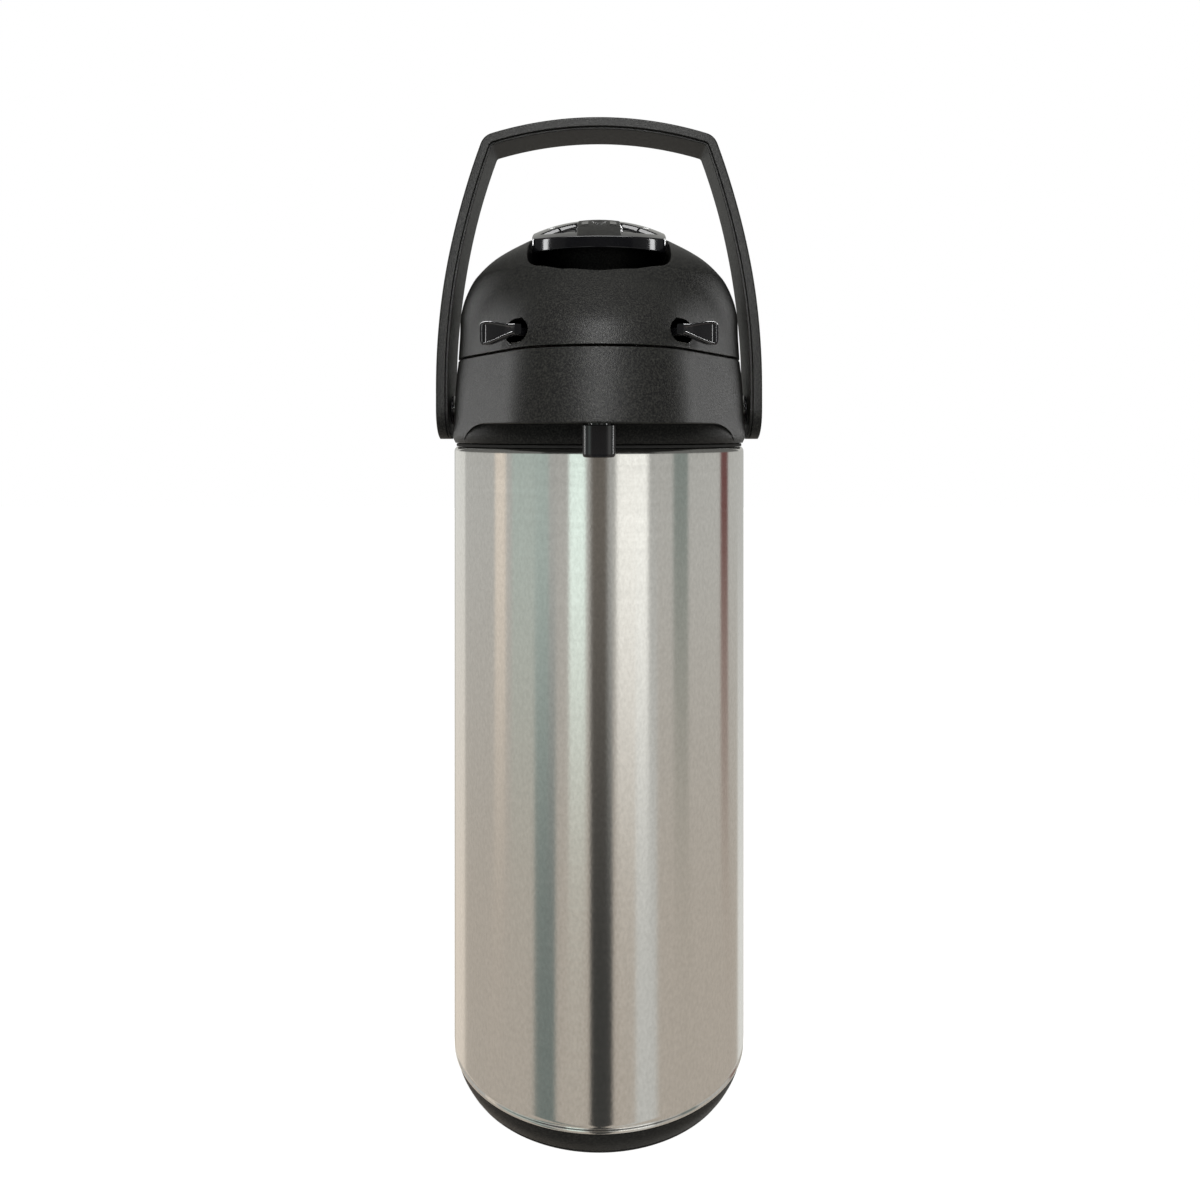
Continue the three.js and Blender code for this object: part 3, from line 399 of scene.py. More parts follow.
def plan_radius(angle, side, front):
    """A circle of radius side, joined by straight tangents to a nose arc that reaches front."""
    nose = NOSE_RATIO * side
    reach = front - nose
    tangent = math.acos((side - nose) / reach)
    nose_edge = math.atan2(nose * math.sin(tangent), reach + nose * math.cos(tangent))
    turn = abs(math.remainder(angle, 2 * math.pi))
    if turn >= tangent:
        return side
    if turn > nose_edge:
        return side / math.cos(tangent - turn)
    return reach * math.cos(turn) + math.sqrt(nose**2 - (reach * math.sin(turn)) ** 2)


def ease(t):
    return t * t * (3 - 2 * t)


def around(radius, angle, height):
    return Vector((radius * math.sin(angle), -radius * math.cos(angle), height))


TINY = 1e-6
SOFT_CORNER = 26  # higher makes the corners of the polar outlines tighter
WELL_CORNER = 11
WELL_LEAST = 0.05  # below it a direction runs almost along the front edge
WELL_OPEN = 1000  # stands for no limit in such a direction


def soft_least(*radii, corner=SOFT_CORNER):
    return sum(r**-corner for r in radii) ** (-1 / corner)


def button_radius(angle):
    """The button's polar outline: a disc with its sides cut straight."""
    across = BUTTON_HALF / max(abs(math.sin(angle)), TINY)
    return soft_least(BUTTON_RADIUS, across)


def well_front(angle, margin):
    """The front edge of the finger recess: a blunt point whose sides fall back in straight lines."""
    tip = WELL_FRONT + WELL_BEND + margin
    ahead = math.cos(angle)
    aside = WELL_SLOPE * math.sin(angle)
    rest = ahead**2 - aside**2
    if ahead <= 0 or rest <= WELL_LEAST:
        return WELL_OPEN
    bend = ahead**2 * WELL_BEND**2 + aside**2 * (tip**2 - WELL_BEND**2)
    return (tip * ahead - math.sqrt(bend)) / rest


def well_radius(angle, margin=0.0):
    """The polar outline of the button's well: round behind, bluntly pointed in front."""
    across = (BUTTON_HALF + WELL_GAP + margin) / max(abs(math.sin(angle)), TINY)
    if math.cos(angle) < 0:
        return soft_least(BUTTON_RADIUS + WELL_GAP + margin, across)
    return soft_least(well_front(angle, margin), across, corner=WELL_CORNER)


dome_skin = Skin(DOME_LEVELS)
dome_lining = Skin(DOME_LEVELS, inset=PLASTIC_WALL, rise=-PLASTIC_WALL)
collar_skin = Skin(COLLAR_LEVELS)
button_skin = Skin(DOME_LEVELS, inset=-BUTTON_PROUD, rise=BUTTON_PROUD)


# ---- Materials ----


def shader(name):
    material = bpy.data.materials.new(name)
    material.use_nodes = True
    tree = material.node_tree
    return material, tree, tree.nodes["Principled BSDF"]


def node(tree, kind, **properties):
    """A shader node with its properties set by name."""
    made = tree.nodes.new(kind)
    for key, value in properties.items():
        setattr(made, key, value)
    return made


NOISE_LOW, NOISE_HIGH = 0.3, 0.7  # most values of a noise lie between these


def grain(tree, scale, detail, stretch=(1, 1, 1)):
    """Solid noise in the piece's own coordinates, in metres, perhaps stretched."""
    place = node(tree, "ShaderNodeTexCoord")
    mapping = node(tree, "ShaderNodeMapping")
    mapping.inputs["Scale"].default_value = stretch
    noise = node(tree, "ShaderNodeTexNoise", noise_dimensions="3D")
    noise.inputs["Scale"].default_value = scale
    noise.inputs["Detail"].default_value = detail
    tree.links.new(place.outputs["Object"], mapping.inputs["Vector"])
    tree.links.new(mapping.outputs["Vector"], noise.inputs["Vector"])
    return noise


def two_tones(tree, noise, low, high, dark, light):
    """Colours between dark and light as the noise goes from low to high."""
    ramp = node(tree, "ShaderNodeValToRGB")
    ramp.color_ramp.elements[0].position = low
    ramp.color_ramp.elements[1].position = high
    ramp.color_ramp.elements[0].color = (*dark, 1)
    ramp.color_ramp.elements[1].color = (*light, 1)
    tree.links.new(noise.outputs["Fac"], ramp.inputs["Fac"])
    return ramp.outputs["Color"]


def clouded(tree, noise, dark, light):
    return two_tones(tree, noise, NOISE_LOW, NOISE_HIGH, dark, light)


def spread(tree, noise, low, high):
    """A number between low and high over the usual range of a noise."""
    scale = node(tree, "ShaderNodeMapRange")
    scale.inputs["From Min"].default_value = NOISE_LOW
    scale.inputs["From Max"].default_value = NOISE_HIGH
    scale.inputs["To Min"].default_value = low
    scale.inputs["To Max"].default_value = high
    tree.links.new(noise.outputs["Fac"], scale.inputs["Value"])
    return scale.outputs["Result"]


def bumped(tree, bsdf, noise, height_mm, strength):
    bump = node(tree, "ShaderNodeBump")
    bump.inputs["Strength"].default_value = strength
    bump.inputs["Distance"].default_value = height_mm * MM
    tree.links.new(noise.outputs["Fac"], bump.inputs["Height"])
    tree.links.new(bump.outputs["Normal"], bsdf.inputs["Normal"])


def textured_plastic():
    """Black plastic with a fine spark-eroded grain. Its base colour has lighter specks: partly random
    tone, partly painted glints of the grain.
    """
    material, tree, bsdf = shader("textured_black")
    fine = grain(tree, 2300, 1.5)
    painted_glint_specks = grain(tree, 1500, 3)
    # The lighter specks painted into the base colour stand for glints of the grain, laid over its random
    # tone.
    dark, light = (0.004, 0.004, 0.004), (0.016, 0.016, 0.014)
    colour = two_tones(tree, painted_glint_specks, 0.42, 0.72, dark, light)
    tree.links.new(colour, bsdf.inputs["Base Color"])
    tree.links.new(spread(tree, fine, 0.34, 0.52), bsdf.inputs["Roughness"])
    bsdf.inputs["Specular IOR Level"].default_value = 0.12
    bumped(tree, bsdf, fine, 0.14, 0.9)
    return material


def brushed_steel():
    """Satin stainless steel, brushed round the pot, with a fine mottle."""
    material, tree, bsdf = shader("brushed_steel")
    mottle = grain(tree, 900, 3, (1, 1, 0.6))
    streak = grain(tree, 500, 4, (0.06, 0.06, 1))
    colour = clouded(tree, mottle, (0.86, 0.85, 0.83), (0.97, 0.96, 0.94))
    tree.links.new(colour, bsdf.inputs["Base Color"])
    tree.links.new(spread(tree, streak, 0.13, 0.16), bsdf.inputs["Roughness"])
    bsdf.inputs["Metallic"].default_value = 1
    bsdf.inputs["Anisotropic"].default_value = 0.9
    bsdf.inputs["Anisotropic Rotation"].default_value = 0.25
    tangent = node(tree, "ShaderNodeTangent", direction_type="RADIAL", axis="Z")
    tree.links.new(tangent.outputs["Tangent"], bsdf.inputs["Tangent"])
    bumped(tree, bsdf, mottle, 0.02, 0.35)
    return material


def plain(name, dark, light, rough_low, rough_high, scale, metallic=0):
    """A material with slight clouding in its colour and gloss."""
    material, tree, bsdf = shader(name)
    cloud = grain(tree, scale, 3)
    tree.links.new(clouded(tree, cloud, dark, light), bsdf.inputs["Base Color"])
    tree.links.new(spread(tree, cloud, rough_low, rough_high), bsdf.inputs["Roughness"])
    bsdf.inputs["Metallic"].default_value = metallic
    return material


materials = {
    "textured_black": textured_plastic(),
    "gloss_black": plain("gloss_black", (0.004, 0.004, 0.005), (0.009, 0.009, 0.010), 0.07, 0.12, 60),
    "brushed_steel": brushed_steel(),
    "bright_steel": plain("bright_steel", (0.66, 0.66, 0.66), (0.78, 0.78, 0.77), 0.14, 0.24, 200, 1),
    "inner_plastic": plain("inner_plastic", (0.56, 0.55, 0.51), (0.66, 0.65, 0.61), 0.42, 0.55, 90),
    "black_rubber": plain("black_rubber", (0.012, 0.012, 0.012), (0.024, 0.024, 0.023), 0.65, 0.8, 600),
    "silicone": plain("silicone", (0.55, 0.53, 0.48), (0.64, 0.62, 0.57), 0.4, 0.52, 150),
}


def piece(name, bm, slot, body, *nodes, weighted=True):
    """Publishes a finished piece that stands for some CAD nodes."""
    obj = smooth(publish(name, bm, materials[slot], body), weighted)
    if nodes:
        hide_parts(*nodes)
    return obj


# ---- Pot, base and foot ----


def build_pot():
    shoulder_in, shoulder_out = 33, 59.6
    shell = [
        (62.5, SHELL_BOTTOM, 0.3), (63.3, SHELL_BOTTOM + 0.1, 0.6), (POT_RADIUS, SHELL_BOTTOM + 1.1, 0.5),
        (62.95, SHELL_BOTTOM + 2.2, 0.5), (POT_RADIUS, SHELL_BOTTOM + 3.4, 0.6),
        (POT_RADIUS, SHELL_TOP - 1.2, 0.8), (62.7, SHELL_TOP, 0.4), (shoulder_out, SHELL_TOP, 0.4),
        (57.6, 272, 0), (shoulder_in, 277.5, 1), (28.9, 279, 0.8), (28.9, 288, 0.2), (28.1, 288, 0.2),
        (28.1, 278.4, 0.8), (32.6, 276.7, 1), (57.2, 271.2, 0), (SHELL_INNER, 269.6, 0.8),
        (SHELL_INNER, SHELL_BOTTOM + 0.2, 0),
    ]
    bm = lathe_mesh(shell, SHELL_ROUND)
    piece("pot_shell", bm, "brushed_steel", "vessel", "outer_shell")
    seam = [
        (60, SHELL_TOP + GAP, 0.2), (62.6, SHELL_TOP + GAP, 0.3),
        (62.6, COLLAR_BOTTOM - GAP, 0.3), (60, COLLAR_BOTTOM - GAP, 0.2),
    ]
    piece("shell_seam", lathe_mesh(seam), "black_rubber", "vessel", "seam_ring")


def build_base():
    cup = [
        (54.2, 1.9, 0.4), (58.9, 1.9, 0.9), (61.6, 6.6, 2.5), (62.8, 11.1, 0.4), (62.4, 11.1, 0),
        (62.4, 16.5, 0.2), (60, 16.5, 0.2), (60, 7.2, 1), (8.3, 7.2, 0.3), (8.3, 5, 0.3), (54.2, 5, 0.5),
    ]
    piece("base_bowl", lathe_mesh(cup), "textured_black", "vessel", "base_cup")


def build_foot():
    disc = [
        (0, 0, 0), (42.7, 0, 0.3), (42.7, 1.5, 0.2), (52.3, 1.5, 0.2), (52.3, 0, 0.3), (57.2, 0, 0.7),
        (58.2, 1, 0.4), (58.2, 1.5, 0.2), (53, 1.5, 0.3), (53, 3.4, 0.4), (8, 3.4, 0.5), (8, 7.5, 0.4),
        (1.8, 7.5, 0.2), (1.8, 2.4, 0), (0, 2.4, 0),
    ]
    piece("foot_plate", lathe_mesh(disc), "textured_black", "foot", "foot_disc")
    pad = [(43, 0, 0.3), (52, 0, 0.3), (52, 1.2, 0.2), (43, 1.2, 0.2)]
    piece("foot_ring", lathe_mesh(pad), "black_rubber", "foot", "foot_pad_ring")


# ---- Collar ----


def undercut_height(x):
    """Height of the beak's underside at a distance from the middle plane."""
    past = abs(x) - (UNDERCUT_HALF - UNDERCUT_CORNER)
    if past <= 0:
        return CREASE
    if past >= UNDERCUT_CORNER:
        return COLLAR_BOTTOM
    arc = CREASE - UNDERCUT_CORNER + math.sqrt(UNDERCUT_CORNER**2 - past**2)
    return max(COLLAR_BOTTOM, arc)


def skirt_radius(height):
    """The collar's half width at a height in its lowest part."""
    lower, bulge, upper = [(side, z) for side, _, z in COLLAR_LEVELS[:3]]
    for (r0, z0), (r1, z1) in ((lower, bulge), (bulge, upper)):
        if height <= z1:
            return r0 + (r1 - r0) * (height - z0) / (z1 - z0)
    return upper[0]


SKIRT_ROWS = 5
UNDERSIDE_ROWS = 6
WALL_ROWS = 16


def collar_column(angle):
    """A section of the collar: skirt, underside of the beak, outer wall, lining and floor."""
    crease_t = collar_skin.at_height(CREASE)
    edge = collar_skin.point(angle, crease_t)
    wall_foot = undercut_height(edge.x)
    skirt_top = undercut_height(skirt_radius(CREASE) * math.sin(angle))
    corners = [(around(SKIRT_RADIUS, angle, COLLAR_BOTTOM), 0.3)]
    for k in range(SKIRT_ROWS):
        z = COLLAR_BOTTOM + (skirt_top - COLLAR_BOTTOM) * k / (SKIRT_ROWS - 1)
        corners.append((around(skirt_radius(z), angle, z), 0.5 if k == 0 else 0))
    start = around(skirt_radius(skirt_top), angle, skirt_top)
    foot = collar_skin.point(angle, collar_skin.at_height(wall_foot))
    for k in range(1, UNDERSIDE_ROWS):
        p = start.lerp(foot, k / UNDERSIDE_ROWS)
        corners.append((Vector((p.x, p.y, undercut_height(p.x))), 0))
    corners.append((foot, 0.7))
    for k in range(1, WALL_ROWS):
        z = wall_foot + (collar_skin.level(1).z - wall_foot) * k / WALL_ROWS
        corners.append((collar_skin.point(angle, collar_skin.at_height(z)), 0))
    corners.append((collar_skin.point(angle, 1), 0.5))
    lining = [*reversed(COLLAR_LEVELS[3:]), (63.7, 93, COLLAR_FLOOR_TOP)]
    for index, (side, front, z) in enumerate(lining):
        radius = plan_radius(angle, side - PLASTIC_WALL, front - PLASTIC_WALL)
        corners.append((around(radius, angle, z), 0.3 if index == 0 else 0))
    corners += [
        (around(NECK_HOLE, angle, COLLAR_FLOOR_TOP), 0.3),
        (around(NECK_HOLE, angle, COLLAR_FLOOR), 0.3),
        (around(SKIRT_RADIUS, angle, COLLAR_FLOOR), 0),
    ]
    return filleted(corners)


def head_angles():
    return [2 * math.pi * i / HEAD_COLUMNS for i in range(HEAD_COLUMNS)]


def hinge_rod(radius, left, right, edge=0.0, bore=0.0):
    return rod_mesh(radius, (left, HINGE_Y, PARTING), (right, HINGE_Y, PARTING), edge, bore)


def pivot_rod(radius, start, end, edge=0.0, bore=0.0):
    return rod_mesh(radius, (start, 0, BAIL_PIVOT), (end, 0, BAIL_PIVOT), edge, bore)


def knuckle_mesh(left, right):
    return hinge_rod(HINGE_RADIUS, left, right, 0.4, HINGE_PIN + GAP)


def build_collar():
    bm = bmesh.new()
    add_columns(bm, [collar_column(a) for a in head_angles()])
    collar = publish("collar", bm, materials["textured_black"], "vessel")
    below, above = (0, NOZZLE_Y, CREASE - 2), (0, NOZZLE_Y, COLLAR_FLOOR_TOP + 1)
    spout_hole = rod_mesh(PIPE_OUTER + 2 * GAP, below, above)
    reach = POT_RADIUS + 5
    pin_hole = pivot_rod(PIVOT_PIN + GAP, -reach, reach)
    room_half = HINGE_LID_HALF + COLLAR_HINGE_SIDE
    room = hinge_rod(HINGE_RADIUS + COLLAR_HINGE_ROOM, -room_half, room_half)
    combined(collar, "DIFFERENCE", merged(spout_hole, pin_hole, room))
    bridges, knuckles = [], []
    for side in (-1, 1):
        left, right = sorted((side * (HINGE_LID_HALF + GAP), side * HINGE_HALF))
        low = (left + BRIDGE_INSET, SKIRT_RADIUS + BRIDGE_INSET, PARTING + COLLAR_BRIDGE[0])
        high = (right - BRIDGE_INSET, HINGE_Y - BRIDGE_INSET, PARTING + COLLAR_BRIDGE[1])
        bridges.append(block_mesh(low, high))
        knuckles.append(knuckle_mesh(left, right))
    combined(collar, "UNION", merged(*bridges), merged(*knuckles))
    smooth(collar)
    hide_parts("head_collar")
    pin = hinge_rod(HINGE_PIN, -HINGE_HALF, HINGE_HALF, 0.3)
    piece("hinge_rod", pin, "bright_steel", "vessel", "hinge_pin")


def nozzle_radius(angle):
    """The polar outline of a rounded square."""
    across = abs(math.sin(angle) / NOZZLE_HALF_WIDTH) ** NOZZLE_ROUNDNESS
    along = abs(math.cos(angle) / NOZZLE_HALF_DEPTH) ** NOZZLE_ROUNDNESS
    return (across + along) ** (-1 / NOZZLE_ROUNDNESS)


def build_nozzle():
    centre = Vector((0, NOZZLE_Y, 0))
    columns = []
    for i in range(SMALL_ROUND):
        angle = 2 * math.pi * i / SMALL_ROUND
        radius = nozzle_radius(angle)
        corners = [
            (around(PIPE_BORE, angle, NOZZLE_BOTTOM), 0.3),
            (around(radius, angle, NOZZLE_BOTTOM), 1.4),
            (around(radius, angle, NOZZLE_TOP), 0.4),
            (around(PIPE_OUTER, angle, NOZZLE_TOP), 0),
            (around(PIPE_OUTER, angle, NOZZLE_STEM_TOP), 0.2),
            (around(PIPE_BORE, angle, NOZZLE_STEM_TOP), 0.2),
        ]
        columns.append([p + centre for p in filleted(corners)])
    bm = bmesh.new()
    add_columns(bm, columns)
    piece("spout_block", bm, "gloss_black", "vessel", "spout_nozzle")


# ---- Dome ----

DOME_ROWS = 34
LINING_ROWS = 8


def skin_run(skin, angle, start_t, x, y, rows):
    """Points up the skin from a level to where it passes over a point of the plan."""
    end_t = skin.over(x, y)
    end_angle = skin.angle(x, y, end_t)
    swing = math.remainder(end_angle - angle, 2 * math.pi)
    run = []
    for k in range(rows + 1):
        share = k / rows
        t = start_t + (end_t - start_t) * share
        run.append(skin.point(angle + swing * ease(share), t))
    return run


def dome_column(angle):
    """A section of the dome: outer skin, well and its floor, and the lining."""
    opening = well_radius(angle)
    behind = well_radius(angle, WELL_WALL)
    edge = around(opening, angle, 0)
    outside = skin_run(dome_skin, angle, 0, edge.x, edge.y, DOME_ROWS)
    corners = [(outside[0], 0.4)] + [(p, 0) for p in outside[1:-1]]
    corners += [
        (outside[-1], 0.8),
        (around(opening, angle, WELL_FLOOR_TOP), 1.2),
        (around(WELL_HOLE, angle, WELL_FLOOR_TOP), 0.3),
        (around(WELL_HOLE, angle, WELL_FLOOR), 0),
        (around(behind, angle, WELL_FLOOR), 0),
    ]
    edge = around(behind, angle, 0)
    start_t = dome_lining.at_height(PARTING + PARTING_GAP / 2)
    inside = skin_run(dome_lining, angle, start_t, edge.x, edge.y, LINING_ROWS)
    corners += [(p, 0) for p in reversed(inside)]
    return filleted(corners)


def latch_pocket(side, direction):
    """A round hole through the dome's skin at a latch."""
    place = Vector((side * LATCH_PLACE.x, LATCH_PLACE.y, LATCH_PLACE.z))
    reach = direction * LATCH_REACH
    return rod_mesh(LATCH_POCKET, place - reach, place + reach, segments=POCKET_ROUND)


def build_dome():
    bm = bmesh.new()
    add_columns(bm, [dome_column(a) for a in head_angles()])
    dome = publish("dome", bm, materials["textured_black"], "lid")
    rooms = []
    pockets = []
    for side in (-1, 1):
        left, right = sorted((side * (HINGE_LID_HALF + DOME_HINGE_SIDE), side * (HINGE_HALF + GAP)))
        rooms.append(hinge_rod(HINGE_RADIUS + DOME_HINGE_ROOM, left, right))
        outward = Vector((side * math.sin(LATCH_ANGLE), -math.cos(LATCH_ANGLE), 0))
        rooms.append(latch_pocket(side, outward))
        pockets.append(latch_pocket(side, Vector((0, -1, 0))))
    combined(dome, "DIFFERENCE", merged(*rooms))
    combined(dome, "DIFFERENCE", merged(*pockets))
    half = HINGE_LID_HALF - BRIDGE_INSET
    low = (-half, 60.2, PARTING + DOME_BRIDGE[0])
    bridge = block_mesh(low, (half, HINGE_Y - BRIDGE_INSET, PARTING + DOME_BRIDGE[1]))
    combined(dome, "UNION", bridge, knuckle_mesh(-HINGE_LID_HALF, HINGE_LID_HALF))
    smooth(dome)
    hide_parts("lid_dome")


# ---- Button and knob ----

BUTTON_COLUMNS = 320
CAP_ROWS = 22
KNOB_ROWS = 26
KNOB_FOOT = 350.3
KNOB_ROOM = 0.5
SHAFT_ROOM = 0.4
BAR_PROUD = 0.2
BAR_DEPTH = 1
BAR_STEPS_ALONG = 40
MARK_PROUD = 0.2
MARK_DEPTH = 0.3


def hollow_depth(x, y):
    """Depth of the two finger hollows, one on each side of the bar, below the button's skin."""
    inside_front = HOLLOW_RADIUS - math.hypot(x, y)
    inside_back = HOLLOW_BACK_RADIUS - math.hypot(x, y - HOLLOW_BACK_CENTRE)
    beside_bar = abs(x) - KNOB_BAR_HALF
    depth = HOLLOW_DEPTH
    for distance, slope in ((inside_front, 1.0), (inside_back, 2.4), (beside_bar, 0.8)):
        depth *= ease(min(1, max(0, distance / slope)))
    return depth


def button_top(x, y):
    return button_skin.height(x, y) - hollow_depth(x, y)


def button_run(angle, start, end, rows):
    """Points along the button's top between two radii."""
    run = []
    for k in range(rows + 1):
        p = around(start + (end - start) * k / rows, angle, 0)
        p.z = button_top(p.x, p.y)
        run.append(p)
    return run


def button_column(angle):
    """A section of the button, with the seat that the knob turns in."""
    outline = button_radius(angle)
    room = KNOB_RADIUS + KNOB_ROOM
    shaft = SHAFT_RADIUS + SHAFT_ROOM
    top = button_run(angle, room, outline, CAP_ROWS)
    corners = [(around(shaft, angle, KNOB_SEAT), 0), (around(room, angle, KNOB_SEAT), 0.3), (top[0], 0.25)]
    corners += [(p, 0) for p in top[1:-1]]
    corners += [
        (top[-1], 0.9),
        (around(outline, angle, BUTTON_BOTTOM), 0.4),
        (around(outline - BUTTON_WALL, angle, BUTTON_BOTTOM), 0.4),
        (around(outline - BUTTON_WALL, angle, BUTTON_FLOOR), 0),
        (around(shaft, angle, BUTTON_FLOOR), 0),
    ]
    return filleted(corners)


def knob_column(angle):
    """A section of the knob and its shaft, from the axis round to the axis."""
    top = button_run(angle, 0, KNOB_RADIUS, KNOB_ROWS)
    corners = [(p, 0) for p in top[:-1]]
    corners += [
        (top[-1], 0.25),
        (around(KNOB_RADIUS, angle, KNOB_SEAT + GAP), 0.3),
        (around(SHAFT_RADIUS, angle, KNOB_SEAT + GAP), 0),
        (around(SHAFT_RADIUS, angle, KNOB_FOOT), 0.3),
        (around(0, angle, KNOB_FOOT), 0),
    ]
    return filleted(corners, loop=False)


def bar_mesh(near_radius, far_radius, ends):
    """A raised bar from front to back, between circles about the axis.

    Each of the two ends is -1 on the front of its circle and 1 on the back.
    """
    places = [-6, -3, 0, 3, 6]
    across = [(-KNOB_BAR_HALF, -BAR_DEPTH, 0), (-KNOB_BAR_HALF, BAR_PROUD, 0.4)]
    across += [(x, BAR_PROUD, 0) for x in places]
    across += [(KNOB_BAR_HALF, BAR_PROUD, 0.4), (KNOB_BAR_HALF, -BAR_DEPTH, 0)]
    across += [(x, -BAR_DEPTH, 0) for x in reversed(places)]
    sections = []
    for k in range(BAR_STEPS_ALONG + 1):
        corners = []
        for x, rise, fillet in across:
            start = ends[0] * math.sqrt(near_radius**2 - x**2)
            end = ends[1] * math.sqrt(far_radius**2 - x**2)
            y = start + (end - start) * k / BAR_STEPS_ALONG
            corners.append((Vector((x, y, button_skin.height(x, y) + rise)), fillet))
        sections.append(filleted(corners))
    bm = bmesh.new()
    rows = add_columns(bm, sections, wrap=False)
    add_bar_end(bm, rows[0], len(places), False)
    add_bar_end(bm, rows[-1], len(places), True)
    return bm


def add_bar_end(bm, row, count, flip):
    """Closes an end of the bar in narrow faces, so that it keeps the circle's curve."""
    below = list(reversed(row[-count:]))
    rounded = (len(row) - 2 * count) // 2
    above = row[rounded : rounded + count]
    faces = [row[:rounded] + [above[0], below[0]]]
    faces += [[above[i], above[i + 1], below[i + 1], below[i]] for i in range(count - 1)]
    faces.append([above[-1], *row[rounded + count : -count], below[-1]])
    for face in faces:
        bm.faces.new(reversed(face) if flip else face)


def mark_mesh(outline):
    """A small flat-topped mark raised on the bar, following the skin."""
    bm = bmesh.new()
    columns = []
    for x, y in outline:
        z = button_skin.height(x, y) + BAR_PROUD
        columns.append([Vector((x, y, z - MARK_DEPTH)), Vector((x, y, z + MARK_PROUD))])
    rows = add_columns(bm, columns, loop=False)
    bm.faces.new([row[1] for row in rows])
    bm.faces.new([row[0] for row in reversed(rows)])
    return bm


def build_button():
    angles = [2 * math.pi * i / BUTTON_COLUMNS for i in range(BUTTON_COLUMNS)]
    bm = bmesh.new()
    add_columns(bm, [button_column(a) for a in angles])
    piece("button", bm, "gloss_black", "pump_button", "button_cap")
    bar = bar_mesh(BUTTON_RADIUS - 0.4, KNOB_RADIUS + 2 * GAP, (-1, -1))
    piece("button_front_bar", bar, "textured_black", "pump_button")
    bm = bmesh.new()
    add_columns(bm, [knob_column(a) for a in angles], loop=False)
    piece("knob", bm, "gloss_black", "lock", "lock_knob")
    piece("knob_bar", bar_mesh(KNOB_RADIUS - 0.1, KNOB_RADIUS - 0.1, (-1, 1)), "textured_black", "lock")
    arrow = [(0, -21.5), (3, -15.5), (1.1, -15.5), (1.1, -12.5), (-1.1, -12.5), (-1.1, -15.5), (-3, -15.5)]
    piece("knob_arrow", mark_mesh(arrow), "gloss_black", "lock", weighted=False)
    for label, side in SIDES:
        x0, x1 = sorted((side * 4.6, side * 7.4))
        dash = [(x0, -20.5), (x1, -20.5), (x1, -14), (x0, -14)]
        piece(f"knob_dash_{label}", mark_mesh(dash), "gloss_black", "lock", weighted=False)


# ---- Latches ----


PADDLE_ROOT, PADDLE_TIP = -6, 17.3  # along the paddle, from the latch's place
PADDLE_ROOT_HALF, PADDLE_TIP_HALF = 1.9, 4.5
PADDLE_WIDE_AT = 0.9  # share of the length where it reaches its full width
PADDLE_CORNER = 1.8
PADDLE_DISH = 0.9
PADDLE_FACE, FACE_LEAN = -3.4, 3.6  # outer face at the root, and how much further out it is at the tip
PADDLE_BACK, BACK_LEAN = -0.7, 3.5
PADDLE_STEPS = 44
TIP_STEPS = 8


def paddle_section(x):
    """A section of the paddle: a dished outer face inside a raised rim that is open at the pivot."""
    share = (x - PADDLE_ROOT) / (PADDLE_TIP - PADDLE_ROOT)
    widened = ease(min(1, share / PADDLE_WIDE_AT))
    half = PADDLE_ROOT_HALF + (PADDLE_TIP_HALF - PADDLE_ROOT_HALF) * widened
    into_corner = max(0, x - PADDLE_TIP + PADDLE_CORNER)
    half -= PADDLE_CORNER - math.sqrt(max(0, PADDLE_CORNER**2 - into_corner**2))
    outer = PADDLE_FACE - FACE_LEAN * share
    inner = PADDLE_BACK - BACK_LEAN * share
    rim, slope, end_rim, end_slope = 0.9, 0.3, 1.4, 1.2
    from_tip = max(0, (PADDLE_TIP - end_rim - x) / end_slope)
    dish = PADDLE_DISH * min(1, from_tip) * min(1, share * 3)
    dished = half - rim - slope
    corners = [
        (-half, inner, 0.5), (-half, outer, 0.45), (rim - half, outer, 0.25), (-dished, outer + dish, 0),
        (dished, outer + dish, 0), (half - rim, outer, 0.25), (half, outer, 0.45), (half, inner, 0.5),
    ]
    return filleted([(Vector((x, y, z)), fillet) for z, y, fillet in corners])


def latch_mesh():
    bm = bmesh.new()
    straight = PADDLE_TIP - PADDLE_CORNER - PADDLE_ROOT
    stations = [PADDLE_ROOT + straight * k / PADDLE_STEPS for k in range(PADDLE_STEPS)]
    for k in range(TIP_STEPS + 1):
        stations.append(PADDLE_TIP - PADDLE_CORNER * (1 - math.sin(k / TIP_STEPS * math.pi / 2)))
    rows = add_columns(bm, [paddle_section(x) for x in stations], wrap=False)
    bm.faces.new(rows[0])
    bm.faces.new(reversed(rows[-1]))
    return bm


def to_latch(bm, side):
    """Moves a mesh from the latch's own axes to its place on the left or the right."""
    turn = Matrix.Rotation(LATCH_ANGLE, 4, "Z")
    mirror = Matrix.Diagonal((side, 1, 1, 1))
    bmesh.ops.transform(bm, matrix=mirror @ Matrix.Translation(LATCH_PLACE) @ turn, verts=bm.verts)
    return bm


def build_latches():
    for label, side in SIDES:
        body = f"latch_{label}_lever"
        paddle = to_latch(latch_mesh(), side)
        latch = publish(f"paddle_{label}", paddle, materials["gloss_black"], body)
        neck = to_latch(block_mesh((-2.2, -2.4, -1.7), (2.2, LATCH_PIVOT_DEPTH, 1.0)), side)
        hub = rod_mesh(HUB_RADIUS, (0, LATCH_PIVOT_DEPTH, -3.4), (0, LATCH_PIVOT_DEPTH, 1.2), 0.3)
        bore = rod_mesh(HUB_BORE, (0, LATCH_PIVOT_DEPTH, -5), (0, LATCH_PIVOT_DEPTH, 5))
        combined(latch, "UNION", neck, to_latch(hub, side))
        combined(latch, "DIFFERENCE", to_latch(bore, side))
        smooth(latch)
        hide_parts(f"latch_{label}")


# ---- Bail ----


def arm_edge(height, inset):
    """How far the arm's edge is from the middle at a height: straight, then an arc."""
    above = max(0, height - BAIL_ARM_START)
    return BAIL_HALF - BAIL_ARM_RADIUS + math.sqrt(BAIL_ARM_RADIUS**2 - above**2) - inset


